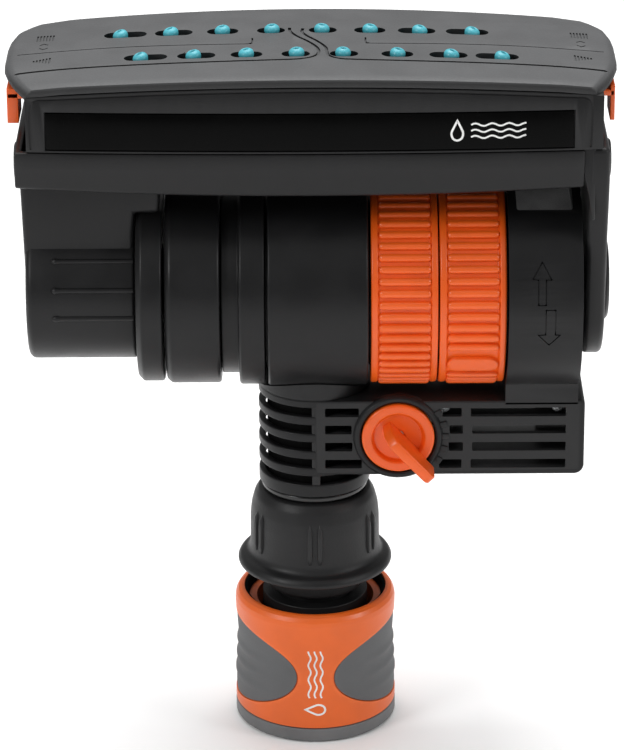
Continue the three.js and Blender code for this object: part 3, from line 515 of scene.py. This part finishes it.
def coupling():
    outer = [(sleeve_radius(z), z) for z in spread(3.9, 31.5, 24)]
    rim = [(19.7, 32.7), (19.1, 33.7), (18.3, 34.2), (17.6, 34.3)]
    inner = [(17.5, 31.5), (14.5, 31.5), (14.5, 20.5), (16.6, 20.5), (16.6, 7.6), (18.2, 7), (18.2, 3.9)]
    shell = lathe("sleeve_shell_fine", outer + rim + inner, fillet=0.12)
    recesses = [
        wrapped("recess", middle, PAD["angle"] + 0.9, PAD["half"] + 0.22, lambda s, u, z: 22, lambda s, u,
                z: 18.9)
        for middle in (0, 180)
    ]
    boolean(shell, recesses)
    piece(soften(shell, 0.12, 2), "release_sleeve", ["sleeve_shell"], SLEEVE_ORANGE)
    # The liner inside the sleeve's rim is painted shade.
    liner = lathe("sleeve_liner", [(17.45, 34.0), (16.8, 33.6), (16.3, 31.6), (17.45, 31.6)], fillet=0.2)
    piece(liner, "release_sleeve", ["sleeve_shell"], SHADE)
    for side, middle in (("left", 180), ("right", 0)):
        pad = wrapped(f"sleeve_grip_{side}_fine", middle, PAD["angle"], PAD["half"], pad_surface, lambda s,
                      u, z: 19.0)
        piece(pad, "release_sleeve", [f"sleeve_grip_{side}"], SOFT_GREY, 60)
    ring = lathe("sleeve_end_ring_fine", [
        (17.2, 0), (19.5, 0), (20, 0.5), (20, 3.3), (19.8, 3.6), (17.9, 3.6), (17.9, 6.7), (17.2, 6.7)],
        fillet=0.25)
    piece(ring, "release_sleeve", ["sleeve_end_ring"], GREY)
    barrel = lathe("coupling_barrel_fine", [
        (5, 0.9), (6.5, 0.9), (6.5, 7), (10.4, 7), (10.4, 9.6), (16.2, 9.6), (16.2, 11.4), (13, 11.4),
        (13, 33.6),
        (9.6, 33.6), (9.6, 16), (5, 16)], fillet=0.3)
    piece(barrel, "coupling", ["coupling_barrel"], ADAPTER_BLACK)
    nut = lathe("hose_nut_fine", [
        (8.6, 0.6), (14.9, 0.6), (15.6, 1.3), (15.6, 9.2), (10.8, 9.2), (10.8, 3.2), (8.6, 3.2)], fillet=0.3)
    flutes = [
        prism("flute", arc(16.4 * math.cos(a), 16.4 * math.sin(a), 1.4, 0, 345, 23), "Z", -1, 8.2)
        for a in (math.radians(20 * i) for i in range(18))
    ]
    boolean(nut, [join("flutes", flutes)])
    piece(nut, "coupling", ["hose_nut"], GREY)
    sleeve_mark()


def sleeve_mark():
    """The plain mark, printed upright on the sleeve's front."""
    def on_sleeve(u, v, height):
        turn = u / 19.6
        r = sleeve_radius(v) + 0.02 + height
        return (r * math.sin(turn), -r * math.cos(turn), v)

    piece(join("sleeve_print", water_mark(on_sleeve, 0, 9, upright=True)), "release_sleeve",
          ["sleeve_shell"],
          PRINT)


# ---------------------------------------------------------------- inlet and column
def adapter_rib(turn):
    """A low upright bar on the adapter's waist, rounded across and fading out at both ends."""
    rows = [(46.2, 15.6, 0.1), (47, 16.3, 0.5), (48.5, 16.6, 0.62), (54, 16.55, 0.62), (56, 16.3, 0.55),
            (57.4, 15.5, 0.1)]
    verts, faces = [], []
    for z, r, half in rows:
        for across, rise in ((-1.25, -1.2), (-0.8, -0.15), (0, 0.0), (0.8, -0.15), (1.25, -1.2)):
            a = turn + across * half / 15.5
            verts.append(((r + rise) * math.cos(a), (r + rise) * math.sin(a), z))
    for k in range(len(rows) - 1):
        for j in range(4):
            faces.append([5 * k + j, 5 * k + j + 1, 5 * k + j + 6, 5 * k + j + 5])
        faces.append([5 * k, 5 * k + 5, 5 * k + 9, 5 * k + 4])
    faces += [[0, 1, 2, 3, 4], [len(verts) - 5 + k for k in range(5)]]
    return mesh_object("rib", verts, faces)


def adapter():
    body = lathe("inlet_adapter_fine", [
        (6.5, 18.2), (8.9, 18.2), (9.3, 18.8), (9.3, 19.4), (8.2, 19.4), (8.2, 21.4), (9.3, 21.4),
        (9.3, 22.4),
        (7.9, 22.4), (7.9, 26.6), (9.3, 26.6), (9.3, 35.4), (12, 35.6), (12, 40.2), (16.5, 40.7),
        (18.9, 41.5),
        (19.1, 42.4), (18.4, 43.6), (16.7, 44.3), (16.1, 45.6), (15.95, 48), (15.9, 54), (15.6, 57),
        (14.8, 60),
        (13.7, 61.7), (12.8, 62), (11.8, 62), (11.8, 51), (6.5, 51)], fillet=0.7)
    ribs = [adapter_rib(math.radians(-90 + 60 * i + side * 4.4)) for i in range(6) for side in (-1, 1)]
    piece(join("inlet_adapter_body", [body] + ribs), "base", ["inlet_adapter"], ADAPTER_BLACK,
          50)
    seal = lathe("column_seal_fine", [(11.8, 62.3), (13.0, 62.2), (13.0, 63.7), (11.8, 63.6)], fillet=0.55)
    piece(seal, "base", ["column_seal"], SEAL)


def column():
    """Ribbed cage round the water tube."""
    edges = [63.9] + [z + side * VENT_HALF for z in VENT_ROWS for side in (-1, 1)] + [90.2]
    parts = []
    for low, high in zip(edges[::2], edges[1::2]):
        parts.append(lathe("rib", [(12, low), (COLUMN_R, low), (COLUMN_R, high), (12, high)], fillet=0.45))
    for y in ((-13.35, -12.1), (12.1, 13.35)):
        parts.append(soften(block("post", (-0.6, 1.4), y, (64.5, 89.5)), 0.2))
    return parts


def shelf():
    outline = [(0, 70)] + arc(SHELF_RIGHT - 2.4, 72.4, 2.4, -90, 0, 10) + arc(SHELF_RIGHT - 1, 88.5, 1, 0,
                                                                              90, 6) + [(0, 89.5)]
    body = soften(prism("shelf", outline, "Y", -COLUMN_R, COLUMN_R), 0.55, 4)
    cavity = block("cavity", (-20, 64.4), (-12, 12), (71.6, 87.9))
    hole = prism("knob_hole", arc(*KNOB, KNOB_R + 0.3, 0, 354, 59), "Y", -20, -11)
    back = block("back", (14.2, 64.7), (8, 20), (71.5, 88))
    tube = prism("tube", arc(0, 0, 12, 0, 354, 59), "Z", 60, 88.4)
    slots = []
    for z in VENT_ROWS[1:]:
        reach = math.sqrt(max(0, 11.4 ** 2 - (z - KNOB[1]) ** 2))
        bend = 36.3 + 0.9 * math.cos((z - 79.5) / 7)
        for low, high in ((2.6, KNOB[0] - reach), (KNOB[0] + reach + 1.2, bend - 1.1), (bend + 1.1, 61)):
            slots.append(prism("slot", rounded([
                (low, z - VENT_HALF), (high, z - VENT_HALF), (high, z + VENT_HALF), (low, z + VENT_HALF)],
                0.35), "Y", -15, -11))
    boolean(body, [cavity, hole, back, tube, join("slots", slots)])
    return soften(body, 0.18, 2)


def bezel():
    ring = lathe("bezel", [(9.15, -12.2), (9.15, -14.2), (9.5, -14.5), (10.3, -14.5), (10.9, -13.7),
                           (10.9, -12.2)],
                 "Y", (KNOB[0], 0, KNOB[1]), 0.2)
    teeth = []
    for degrees in (-32, -16, 0, 16, 32):
        tooth = soften(block("tooth", (10.6, 12.4), (-14.05, -12.5), (-0.75, 0.75)), 0.2)
        turn = Matrix.Rotation(math.radians(-degrees), 4, "Y")
        teeth.append(moved(tooth, at(KNOB[0], 0, KNOB[1]) @ turn))
    return [ring] + teeth


def gear_housing():
    outline = arc(0, AXIS_Z, HOUSING_R, -58, 238, 110) + [
        (-COLUMN_R - 0.3, AXIS_Z - 21.6), (-COLUMN_R, 92.5), (-COLUMN_R, 88.5), (COLUMN_R, 88.5),
        (COLUMN_R, 92.5),
        (COLUMN_R + 0.3, AXIS_Z - 21.6)]
    body = soften(prism("housing", outline, "X", 46.2, 63.75), 1.0, 5, 50)
    hollow = lathe("hollow", [(0, 44), (20.9, 44), (20.9, 49.3), (18.8, 49.3), (18.8, 61.4), (0, 61.4)], "X",
                   (0, 0, AXIS_Z), 0)
    pocket = soften(block("pocket", (48.2, 61.6), (-13, 13), (AXIS_Z + 22.2, AXIS_Z + 30)), 0.6)
    return boolean(body, [hollow, pocket, join("arrows", arrows())])


def arrows():
    """Thin bars round the outlines of an arrow up and an arrow down, as X and arc height."""
    up = [(53.1, 3.3), (53.1, 9.3), (51.8, 9.6), (54.0, 13.6), (56.2, 9.4), (54.9, 9.3), (54.9, 3.3)]
    down = [(57.2, 2.1), (57.2, -4.3), (58.3, -4.4), (55.8, -7.2), (53.2, -4.4), (54.9, -4.3), (54.9, 2.1)]
    bars = []
    for shape in (up, down):
        for i, end in enumerate(shape):
            start, end = Vector(shape[i - 1]), Vector(end)
            reach = (end - start).normalized() * 0.12
            path = [start - reach + (end - start + 2 * reach) * k / 4 for k in range(5)]
            bars.append(ribbon("arrow", path, 0.3, on_drum, -0.28, 1))
    return bars


def base():
    parts = column() + [shelf(), gear_housing()] + bezel()
    saddle = lathe("saddle", [(0, 89), (COLUMN_R, 89), (COLUMN_R, 95.6), (0, 95.6)])
    drum_space = lathe("drum_space", [(0, -30), (DRUM_R + 0.3, -30), (DRUM_R + 0.3, 30), (0, 30)], "X",
                       (0, 0, AXIS_Z), 0)
    parts.append(boolean(saddle, [drum_space]))
    piece(join("base_housing_fine", parts), "base", ["base_housing"], BLACK)
    cover = block("back_cover_fine", (14.5, 64.4), (12.1, COLUMN_R), (71.8, 87.7))
    slots = [block("slot", (37, 55), (11, 15), (z - VENT_HALF, z + VENT_HALF)) for z in VENT_ROWS[1:]]
    holes = [prism("hole", arc(x, KNOB[1], 1.7, 0, 345, 23), "Y", 11, 15) for x in (32, 60)]
    boolean(cover, [join("cover_cuts", slots + holes)])
    piece(soften(cover, 0.25), "base", ["back_cover"], BLACK)
    for i, x in enumerate((32, 60)):
        screw = lathe(f"cover_screw_{i + 1}_fine", [(0, 4), (1.4, 4), (1.4, 13.9), (2.9, 13.9), (2.7, 14.7),
                                                    (1.6, 15.2), (0, 15.2)],
                      "Y", (x, 0, KNOB[1]), 0.25, 48)
        cross = [block("bar", (x - a, x + a), (14.4, 16), (KNOB[1] - b, KNOB[1] + b)) for a,
                 b in ((1.5, 0.3), (0.3, 1.5))]
        boolean(screw, cross)
        piece(screw, "base", [f"cover_screw_{i + 1}"], STEEL)


def knob():
    centre = (KNOB[0], 0, KNOB[1])
    disc = lathe("flow_knob_disc", [
        (0, -12.3), (KNOB_R, -12.3), (KNOB_R, -14.6), (8.4, -15), (6.5, -15), (6.1, -14.5), (5.9, -13.7),
        (1.7, -13.6), (1.4, -12.9), (0, -12.8)], "Y", centre, 0.3)
    side = [(-4.4, -12.9), (-3.9, -18.2), (-2.2, -21.4), (-1.2, -22), (10.6, -22), (11.7, -20.9),
            (11.5, -14.9),
            (8.7, -14.9), (8.4, -12.9)]
    fin = prism("flow_knob_fin", rounded(side, 0.8), "Z", -1.3, 1.3)
    fin = soften(fin, 0.45, 4, 60)
    turn = Matrix.Rotation(math.radians(-LEVER_ANGLE), 4, "Y")
    moved(fin, at(*centre) @ turn)
    piece(join("flow_knob_fine", [disc, fin]), "flow_control", ["flow_knob"], ORANGE)


# ---------------------------------------------------------------- drum and rings
def drum_lathe(name, profile, fillet=0.35):
    return lathe(name, profile, "X", (0, 0, AXIS_Z), fillet, 160)


def drum():
    body = drum_lathe("drum_body_fine", [
        (21.5, -11), (25.1, -11), (25.5, -10.6), (25.5, 12.6), (25.1, 13), (20.6, 13), (20.6, 49),
        (18.8, 49), (18.8, 13.2), (2.2, 13.2),
        (2.2, 11.4), (23.3, 11.4), (23.3, -8), (21.5, -8)])
    piece(body, "base", ["drum_body"], BLACK)
    flange = drum_lathe("bearing_flange_fine", [
        (8.3, -22), (22.4, -22), (22.4, -17.9), (24.7, -17.9), (25.2, -17.4), (25.2, -11.9), (25, -11.7),
        (21.2, -11.7),
        (21.2, -9), (19, -9), (19, -15), (8.3, -15)])
    piece(flange, "base", ["bearing_flange"], BLACK)
    swivel = drum_lathe("swivel_drum_fine", [
        (8.4, -35.4), (23.7, -35.4), (24.8, -34.2), (24.8, -22.9), (24.4, -22.3), (20, -22.3), (8.4, -33.2)],
        0.5)
    piece(swivel, "base", ["swivel_drum"], BLACK)
    collar = drum_lathe("arm_collar_fine", [
        (8.4, -42.3), (22.9, -42.3), (24.3, -41.0), (24.3, -36.4), (23.9, -36), (8.4, -36)], 0.4)
    boolean(collar, [block("top", (-50, -30), (-30, 30), (137.7, 150))])
    piece(soften(collar, 0.2, 2), "head", ["arm_collar"], BLACK)


def ring_rib(degrees, stations):
    """One rounded rib across a ring. A station is an X and the share of the full height there."""
    section = [(-1.0, -0.7), (-0.92, 0.05), (-0.68, 0.4), (0, 0.52), (0.68, 0.4), (0.92, 0.05), (1.0, -0.7)]
    verts, faces = [], []
    for x, scale in stations:
        for across, rise in section:
            r = RING_RIB_R + (rise * scale if rise > 0 else rise)
            a = math.radians(degrees) + across * max(scale, 0.5) / 25
            verts.append((x, r * math.cos(a), AXIS_Z + r * math.sin(a)))
    for s in range(len(stations) - 1):
        for k in range(6):
            faces.append([7 * s + k, 7 * s + k + 1, 7 * s + k + 8, 7 * s + k + 7])
        faces.append([7 * s + 6, 7 * s, 7 * s + 7, 7 * s + 13])
    faces += [list(range(7)), [len(verts) - 7 + k for k in range(7)]]
    return mesh_object("rib", verts, faces)


def range_ring(name, body, left, right, pad_angle=None):
    band = drum_lathe("band", [
        (21, left), (24.6, left), (24.9, left + 0.35), (24.9, left + 1.5), (24.2, left + 2.1),
        (24.2, right - 1.9),
        (24.9, right - 1.4), (24.9, right - 0.35), (24.6, right), (21, right)], 0.15)
    parts = [band]
    stations = [(left + 1.9, 0.05), (left + 2.15, 0.75), (left + 2.7, 1),
                (right - 2.5, 1), (right - 1.95, 0.75), (right - 1.7, 0.05)]
    for i in range(RING_RIBS):
        degrees = 360 * i / RING_RIBS
        if pad_angle is None or abs(degrees - pad_angle) >= 8:
            parts.append(ring_rib(degrees, stations))
    if pad_angle is not None:
        parts.append(thumb_pad(left + 1.9, right - 1.7, pad_angle))
    piece(join(name, parts), body, [name.replace("_fine", "")], ORANGE, 60)


def thumb_pad(left, right, degrees):
    """A raised stadium with a soft edge on the ring."""
    verts, faces = [], []
    count = 40
    rows = [(1.0, -0.8), (1.0, 0.25), (0.93, 0.48), (0.8, 0.55), (0.5, 0.5), (0.2, 0.48)]
    reach = (right - left) / 2
    for scale, rise in rows:
        half = 2.5 - (1 - scale) * 2.5
        for x, t in stadium((-reach + 2.5, 0), (reach - 2.5, 0), half, count // 2 - 1):
            a = math.radians(degrees) + t / 25
            r = RING_RIB_R + rise
            verts.append(((left + right) / 2 + x, r * math.cos(a), AXIS_Z + r * math.sin(a)))
    for s in range(len(rows) - 1):
        for k in range(count):
            j = (k + 1) % count
            faces.append([count * s + k, count * s + j, count * (s + 1) + j, count * (s + 1) + k])
    faces += [list(range(count)), [len(verts) - count + k for k in range(count)]]
    return mesh_object("pad", verts, faces)


# ---------------------------------------------------------------- head
def skirt_outline(x, inset=0.0):
    y, low = half_depth(x) - inset, skirt_bottom(x) + inset
    top = SPLIT_Z + (1 if inset else 0)
    return [(-y, top), (-y, 154), (-y + 0.25, 153.4), (-y + 1.1, low + 0.7), (-y + 1.9, low), (y - 1.9, low),
            (y - 1.1, low + 0.7), (y - 0.25, 153.4), (y, 154), (y, top)]


def lower_shell():
    skirt = loft("skirt", spread(HEAD_LEFT, SKIRT_RIGHT, 48), skirt_outline)
    tray = loft("tray", spread(HEAD_LEFT + 1.8, SKIRT_RIGHT - 1.8, 24), lambda x: skirt_outline(x, 1.8))
    boolean(skirt, [tray])
    soften(skirt, 0.5, 3, 30)
    arm = lathe("arm", [(0, -68.6), (17.6, -68.6), (18.6, -67.6), (18.6, -42.6), (0, -42.6)], "X",
                (0, 0, AXIS_Z), 0.8)
    outline = [(-68.6, AXIS_Z), (-69.5, 149), (-36.5, 149), (-36.5, 138), (-42.6, 138), (-42.6, AXIS_Z)]
    riser = soften(prism("riser", outline, "Y", -13, 13), 1.2, 4)
    ribs = []
    for i in range(4):
        angle = math.radians(90 + 32.5 + 21.7 * i)
        y, z = 18.5 * math.cos(angle), AXIS_Z + 18.5 * math.sin(angle)
        ribs.append(lathe("rib", [(0, -62.4), (0.55, -62.2), (0.85, -61.5), (0.62, -60.2), (0.62, -42.8),
                                  (0, -42.7)],
                          "X", (0, y, z), 0.2, 16))
    piece(join("lower_shell_fine", [skirt, arm, riser] + ribs), "head", ["lower_shell"], BLACK)


def shell_walls(x, inset, low, high):
    """Section across the head between its front and back walls."""
    y = half_depth(x) - inset
    return [(-y, high), (-y, low), (y, low), (y, high)]


def front_strip(x, inside, outside, low, high):
    """Section of a strip that follows the head's front wall."""
    y = half_depth(x)
    return [(inside - y, high), (outside - y, high), (outside - y, low), (inside - y, low)]


def upper_shell():
    outer = loft("outer", spread(UPPER_LEFT, ARM_RIGHT, 48),
                 lambda x: shell_walls(x, 0, SPLIT_Z + 0.3, cover_edge(x) - 2.3))
    inner = loft("inner", spread(UPPER_LEFT + 1.8, ARM_LEFT, 24), lambda x: shell_walls(x, 1.8, 150, 180))
    label = loft("label", spread(-62.3, 60.9, 24), lambda x: front_strip(x, 1, -9, 158.3, 167.8))
    notches = [block("notch", xs, (-14, 6), (166.2, 190)) for xs in ((-80, -60), (60, 80))]
    top_line = [(x, cover_edge(x) - 3.1) for x in (-60, -40, -20, 0, 20, 40, 60)]
    border = smooth_path([(-65.6, 158.5), (-65.7, 164), (-65.4, 169.2), (-63.8, 170.7)] + top_line
                         + [(63.2, 170.7), (64.6, 169.2), (64.8, 164), (64.6, 158.5)], 8)
    groove = ribbon("border", border, 0.45, on_front, -0.3, 2)
    bowed_end(outer, 0.2)
    bowed_end(inner, 0.2)
    boolean(outer, [inner, label, groove] + notches)
    soften(outer, 0.3, 2, 45)
    outline = arc(0, AXIS_Z, 18, 195, 345, 40) + [(20.6, 134), (23.6, 145), (24.4, 150), (24.4, 157.8),
                                                  (-24.4, 157.8),
                                                 (-24.4, 150), (-23.6, 145), (-20.6, 134)]
    arm = soften(prism("arm", outline, "X", ARM_LEFT, ARM_RIGHT), 1.3, 4, 50)
    brace = prism("brace", [(61.8, 158.4), (66, 158.4), (66, 140), (65.2, 140), (64.5, 146)], "Y", -24.2,
                  -22.4)
    piece(join("upper_shell_fine", [outer, arm, soften(brace, 0.3)]), "head", ["upper_shell"], BLACK)


def name_plate():
    plate = loft("name_plate_fine", spread(-62, 60.6, 40), lambda x: front_strip(x, 0.7, 0.02, 158.6, 167.5))
    piece(soften(plate, 0.15, 2), "head", ["name_plate"], GLOSS)
    parts = water_mark(on_front, 33.5, 163.1)
    piece(join("name_plate_print", parts), "head", ["name_plate"], PRINT)


def bowed_end(made, amount=0.52):
    """Bows the ends out in plan, so that their corners sit further in."""
    for vertex in made.data.vertices:
        x, y = vertex.co.x / MM, vertex.co.y / MM
        out = abs(x) - 58
        if out > 0:
            share = max(0, abs(y) - 5) / 21.8
            vertex.co.x = math.copysign(58 + out * (1 - amount * share ** 2), x) * MM
    return made


def end_drop(x):
    """How far the cover's top falls in the rounded edge at either end."""
    near = min(x - COVER_ENDS[0], COVER_ENDS[1] - x)
    return END_ROUND - math.sqrt(END_ROUND ** 2 - max(0, END_ROUND - near) ** 2)


def cover_section(x, inset):
    y = half_depth(x) - inset
    drop = 0 if inset else end_drop(x)
    edge, middle = cover_edge(x) - inset - drop, cover_middle(x) - inset - drop
    low = edge - 9 if inset else min(edge + drop - 2, edge - 0.4)
    rim = min(0.9, 0.45 * (edge - low))
    front = [(-y, low), (-y, edge - rim), (-y + 0.3, edge - rim * 0.33), (-y + 0.9, edge)]
    for share in (0.8, 0.6, 0.4, 0.2, 0):
        front.append((-14 - share * (y - 14.9), middle + (edge - middle) * share))
    front += [(-9, middle), (-5, middle)]
    return front + [(0, middle)] + [(-a, b) for a, b in reversed(front)]


def nozzle_rows():
    """Name, row, tip, side, rank from the middle and base of every nozzle."""
    for row, tips, y in (("front", FRONT_TIPS, FRONT_ROW_Y), ("back", BACK_TIPS, BACK_ROW_Y)):
        for i, tip in enumerate(tips):
            side = -1 if i < 4 else 1
            rank = 3 - i if i < 4 else i - 4
            base_x = tip - side * NOZZLE_LENGTH * math.sin(math.radians(LEAN[rank]))
            yield f"nozzle_{row}_{i + 1}", y, tip, side, rank, base_x


def cover_grooves():
    """The line in front of the nozzles with its double curve, and the short line between the rows."""
    left_line = [(-70, -16.4), (-64, -15.9), (-50, -15.4), (-25, -15.1), (-8, -14.6), (-2.4, -14),
                 (0.6, -12), (1.5, -9),
                 (0.9, -5.2), (-1.2, -1), (-3.6, 2.6), (-5.2, 6.2), (-5.4, 9)]
    right_line = [(69.2, -16.4), (63, -15.9), (50, -15.4), (25, -15.1), (11, -14.6), (6.4, -14), (4, -12),
                  (3.4, -9),
                  (3.1, -5.6), (1.2, -1.2), (-1, 2.4), (-2.4, 5.6), (-2.2, 8.4)]
    paths = [(left_line, 0.75), (right_line, 0.75)]
    for end, turn, way in ((-69.5, -14.2, -1), (68.7, 12.6, 1)):
        paths.append(([(end, -3.6), (way * 45, -2.2), (turn + way * 3, -2.7), (turn + way * 0.6, -2.4),
                       (turn, -1.4), (turn, 1.6)], 0.4))
    return [ribbon("groove", smooth_path(points, 6), width, on_cover, -0.5, 1.5) for points, width in paths]


def cover_marks():
    """Small engraved combs and a double arrow at each end, for a wide and a narrow spray."""
    marks = []
    for side in (-1, 1):
        for y, shrink in ((7.6, 0), (-9.2, 0.3)):
            for k in range(6):
                x = side * (61.6 + 0.75 * k)
                half = 2.0 - shrink * k
                marks.append(ribbon("bar", [Vector((x, y - half)), Vector((x, y + half))], 0.42, on_cover,
                                    -0.3, 1.5))
        for way in (-1, 1):
            y = 1.4 + way * 2.0
            tip = [Vector((side * 62.6, y - way * 0.9)), Vector((side * 63.6, y)),
                   Vector((side * 64.6, y - way * 0.9))]
            marks.append(ribbon("arrow", tip, 0.36, on_cover, -0.3, 1.5))
    return marks


def top_cover():
    low, high = COVER_ENDS
    near = [0, 0.1, 0.3, 0.6, 1.0, 1.5, 2.0]
    stations = [low + d for d in near] + spread(low + 2.6, high - 2.6, 88) + [high - d
                                                                              for d in reversed(near)]
    outer = loft("top_cover_fine", stations, lambda x: cover_section(x, 0))
    inner = loft("inner", spread(low + 1.6, high - 1.6, 48), lambda x: cover_section(x, 1.7))
    bowed_end(outer)
    bowed_end(inner)
    slots = []
    for _, y, tip, side, rank, _ in nozzle_rows():
        ends = sorted((tip + side * 1.4, tip - side * ROOM[rank]))
        slots.append(prism("slot", stadium((ends[0], y), (ends[1], y), 2.05), "Z", 165, 180))
    boolean(outer, [inner, join("slots", slots), join("engraving", cover_grooves() + cover_marks())])
    piece(outer, "head", ["top_cover"], COVER_GREY, 30)


def nozzles():
    profile = [(0.55, -0.9), (1.4, -0.9), (1.2, 3.8), (1.6, 4.6), (1.82, 5.2), (1.86, 5.7), (1.66, 6.25),
               (1.2, 6.62),
               (0.85, 6.75), (0.68, 6.6), (0.55, 6.2)]
    for name, y, tip, side, rank, base_x in nozzle_rows():
        made = lathe(name + "_fine", profile, "Z", (0, 0, 0), 0.3, 40)
        turn = Matrix.Rotation(side * math.radians(LEAN[rank]), 4, "Y")
        moved(made, at(base_x, y, PIVOT_Z - crown(tip)) @ turn)
        piece(made, name + "_tip", [name], TEAL, 60)


def sliders():
    """Plates under the cover in painted shade, and the orange handles that show at the ends."""
    for side, name, out, step_x in ((-1, "left", -71.7, -54.9), (1, "right", 70.9, 53.5)):
        body = f"{name}_slider"
        node = f"width_slider_{name}"
        inner = -0.95 if side < 0 else -0.45
        heights = (SLIDER_Z, SLIDER_Z + 1.2)
        outer = step_x - 1.4 * side
        plate = block(f"{node}_plate", sorted((inner, outer)), (-15, 10), heights)
        strip = block("strip", sorted((inner, outer - 9 * side)), (-21.5, -14), heights)
        boolean(plate, [strip], "UNION")
        slots = []
        for _, y, tip, its_side, rank, base_x in nozzle_rows():
            if its_side != side:
                continue
            height = SLIDER_Z + 0.6 - PIVOT_Z
            turned = math.radians(LEAN[rank]) - (ROOM[rank] - 0.4) / NOZZLE_LENGTH
            start = (base_x + side * height * math.tan(math.radians(LEAN[rank])), y)
            end = (base_x + side * height * math.tan(turned), y - 8)
            slots.append(prism("slot", stadium(start, end, 1.7), "Z", 170, 176))
        boolean(plate, [join("slots", slots)])
        step = soften(block("step", sorted((step_x, step_x - 1.4 * side)), (-12, 6), (166.9, SLIDER_Z + 1)),
                      0.2)
        # The plates carry painted shade: the dark seen inside the nozzle slots.
        piece(join(f"{node}_plate_fine", [plate, step]), body, [node], SHADE)
        neck = soften(block("neck", sorted((step_x, out)), (-13, -3), (166.9, 168.4)), 0.3)
        thick = 2.7 if side < 0 else 1.1
        grip = block("grip", sorted((out, out - thick * side)), (-13, -3), (160.9, 169.4))
        notches = [block("notch", sorted((out + side, out - 0.35 * side)), (y - 0.35, y + 0.35),
                         (162, 168.6))
                   for y in (-10.5, -8.8, -7.2, -5.5)]
        boolean(grip, notches)
        piece(join(f"{node}_handle", [neck, soften(grip, 0.3)]), body, [node], ORANGE)


def caps():
    boss = [(0, 66), (2, 66), (2, 69.7), (5, 69.7), (5, 70.2), (4.5, 71.0), (3.9, 71.2), (3.5, 70.8),
            (0, 70.7)]
    right = lathe("end_cap_right_fine", boss, "X", (0, 0, 146.8), 0.3, 64)
    left = lathe("end_cap_left_fine", [(r, -h - 0.2) for r, h in boss], "X", (0, 0, 146.8), 0.3, 64)
    piece(right, "head", ["end_cap_right"], BLACK)
    piece(left, "head", ["end_cap_left"], BLACK)
    cap = lathe("pivot_cap_fine", [
        (0, 62), (1.3, 62), (1.3, 69.7), (10, 69.7), (10, 70.3), (9.2, 71), (7.6, 71.1), (7.2, 70.7),
        (0, 70.6)],
        "X", (0, 0, AXIS_Z), 0.3, 96)
    piece(cap, "head", ["pivot_cap"], BLACK)


# ---------------------------------------------------------------- stage
def stage():
    floor = mesh_object("floor", [(-3000, -3000, -0.2), (3000, -3000, -0.2), (3000, 3000, -0.2),
                                  (-3000, 3000, -0.2)],
                        [[0, 1, 2, 3]])
    paint = bpy.data.materials.new("pale_floor")
    paint.use_nodes = True
    shader = paint.node_tree.nodes["Principled BSDF"]
    shader.inputs["Base Color"].default_value = (0.93, 0.93, 0.93, 1)
    shader.inputs["Roughness"].default_value = 0.9
    floor.data.materials.append(paint)
    world = bpy.context.scene.world or bpy.data.worlds.new("studio")
    bpy.context.scene.world = world
    world.use_nodes = True
    nodes, links = world.node_tree.nodes, world.node_tree.links
    split = nodes.new("ShaderNodeSeparateXYZ")
    rise = nodes.new("ShaderNodeMapRange")
    for key, value in (("From Min", -0.1), ("From Max", 0.9), ("To Min", 0.18), ("To Max", 0.6)):
        rise.inputs[key].default_value = value
    links.new(nodes.new("ShaderNodeTexCoord").outputs["Generated"], split.inputs[0])
    links.new(split.outputs["Z"], rise.inputs["Value"])
    nodes["Background"].inputs["Color"].default_value = (1, 1, 1, 1)
    links.new(rise.outputs["Result"], nodes["Background"].inputs["Strength"])
    lamp("top_light", (0.0, 0.3, 1.2), (0, 0.1, 0.1), 0.9, 15)
    lamp("left_light", (-0.9, -0.7, 0.75), (0, 0, 0.12), 0.35, 5)
    lamp("right_light", (1.0, -0.45, 0.6), (0, 0, 0.12), 0.3, 3)
    bpy.context.scene.view_settings.view_transform = "Standard"


def lamp(name, place, aim, size, power):
    light = bpy.data.lights.new(name, "AREA")
    light.size, light.energy = size, power
    made = bpy.data.objects.new(name, light)
    made.location = place
    made.rotation_euler = (Vector(aim) - Vector(place)).to_track_quat("-Z", "Y").to_euler()
    bpy.context.scene.collection.objects.link(made)


def camera():
    elevation, distance, target = math.radians(23), 1.0, Vector((0, 0, 0.09075))
    made = bpy.data.objects.new("camera", bpy.data.cameras.new("camera"))
    made.data.lens, made.data.sensor_width = 196.3, 36
    made.data.shift_x = -0.0027
    back = Vector((0, -math.cos(elevation), math.sin(elevation)))
    made.location = target + back * distance
    aim = (-back).to_track_quat("-Z", "Y").to_matrix().to_4x4()
    roll = Matrix.Rotation(math.radians(-0.3), 4, "Z")
    made.rotation_euler = (aim @ roll).to_euler()
    bpy.context.scene.collection.objects.link(made)
    bpy.context.scene.camera = made


camera()
stage()
carried_nodes()
coupling()
adapter()
base()
knob()
drum()
range_ring("range_ring_left_fine", "left_ring", 13.6, 29.5)
range_ring("range_ring_right_fine", "right_ring", 29.9, 45.7, 214)
lower_shell()
upper_shell()
name_plate()
top_cover()
nozzles()
sliders()
caps()
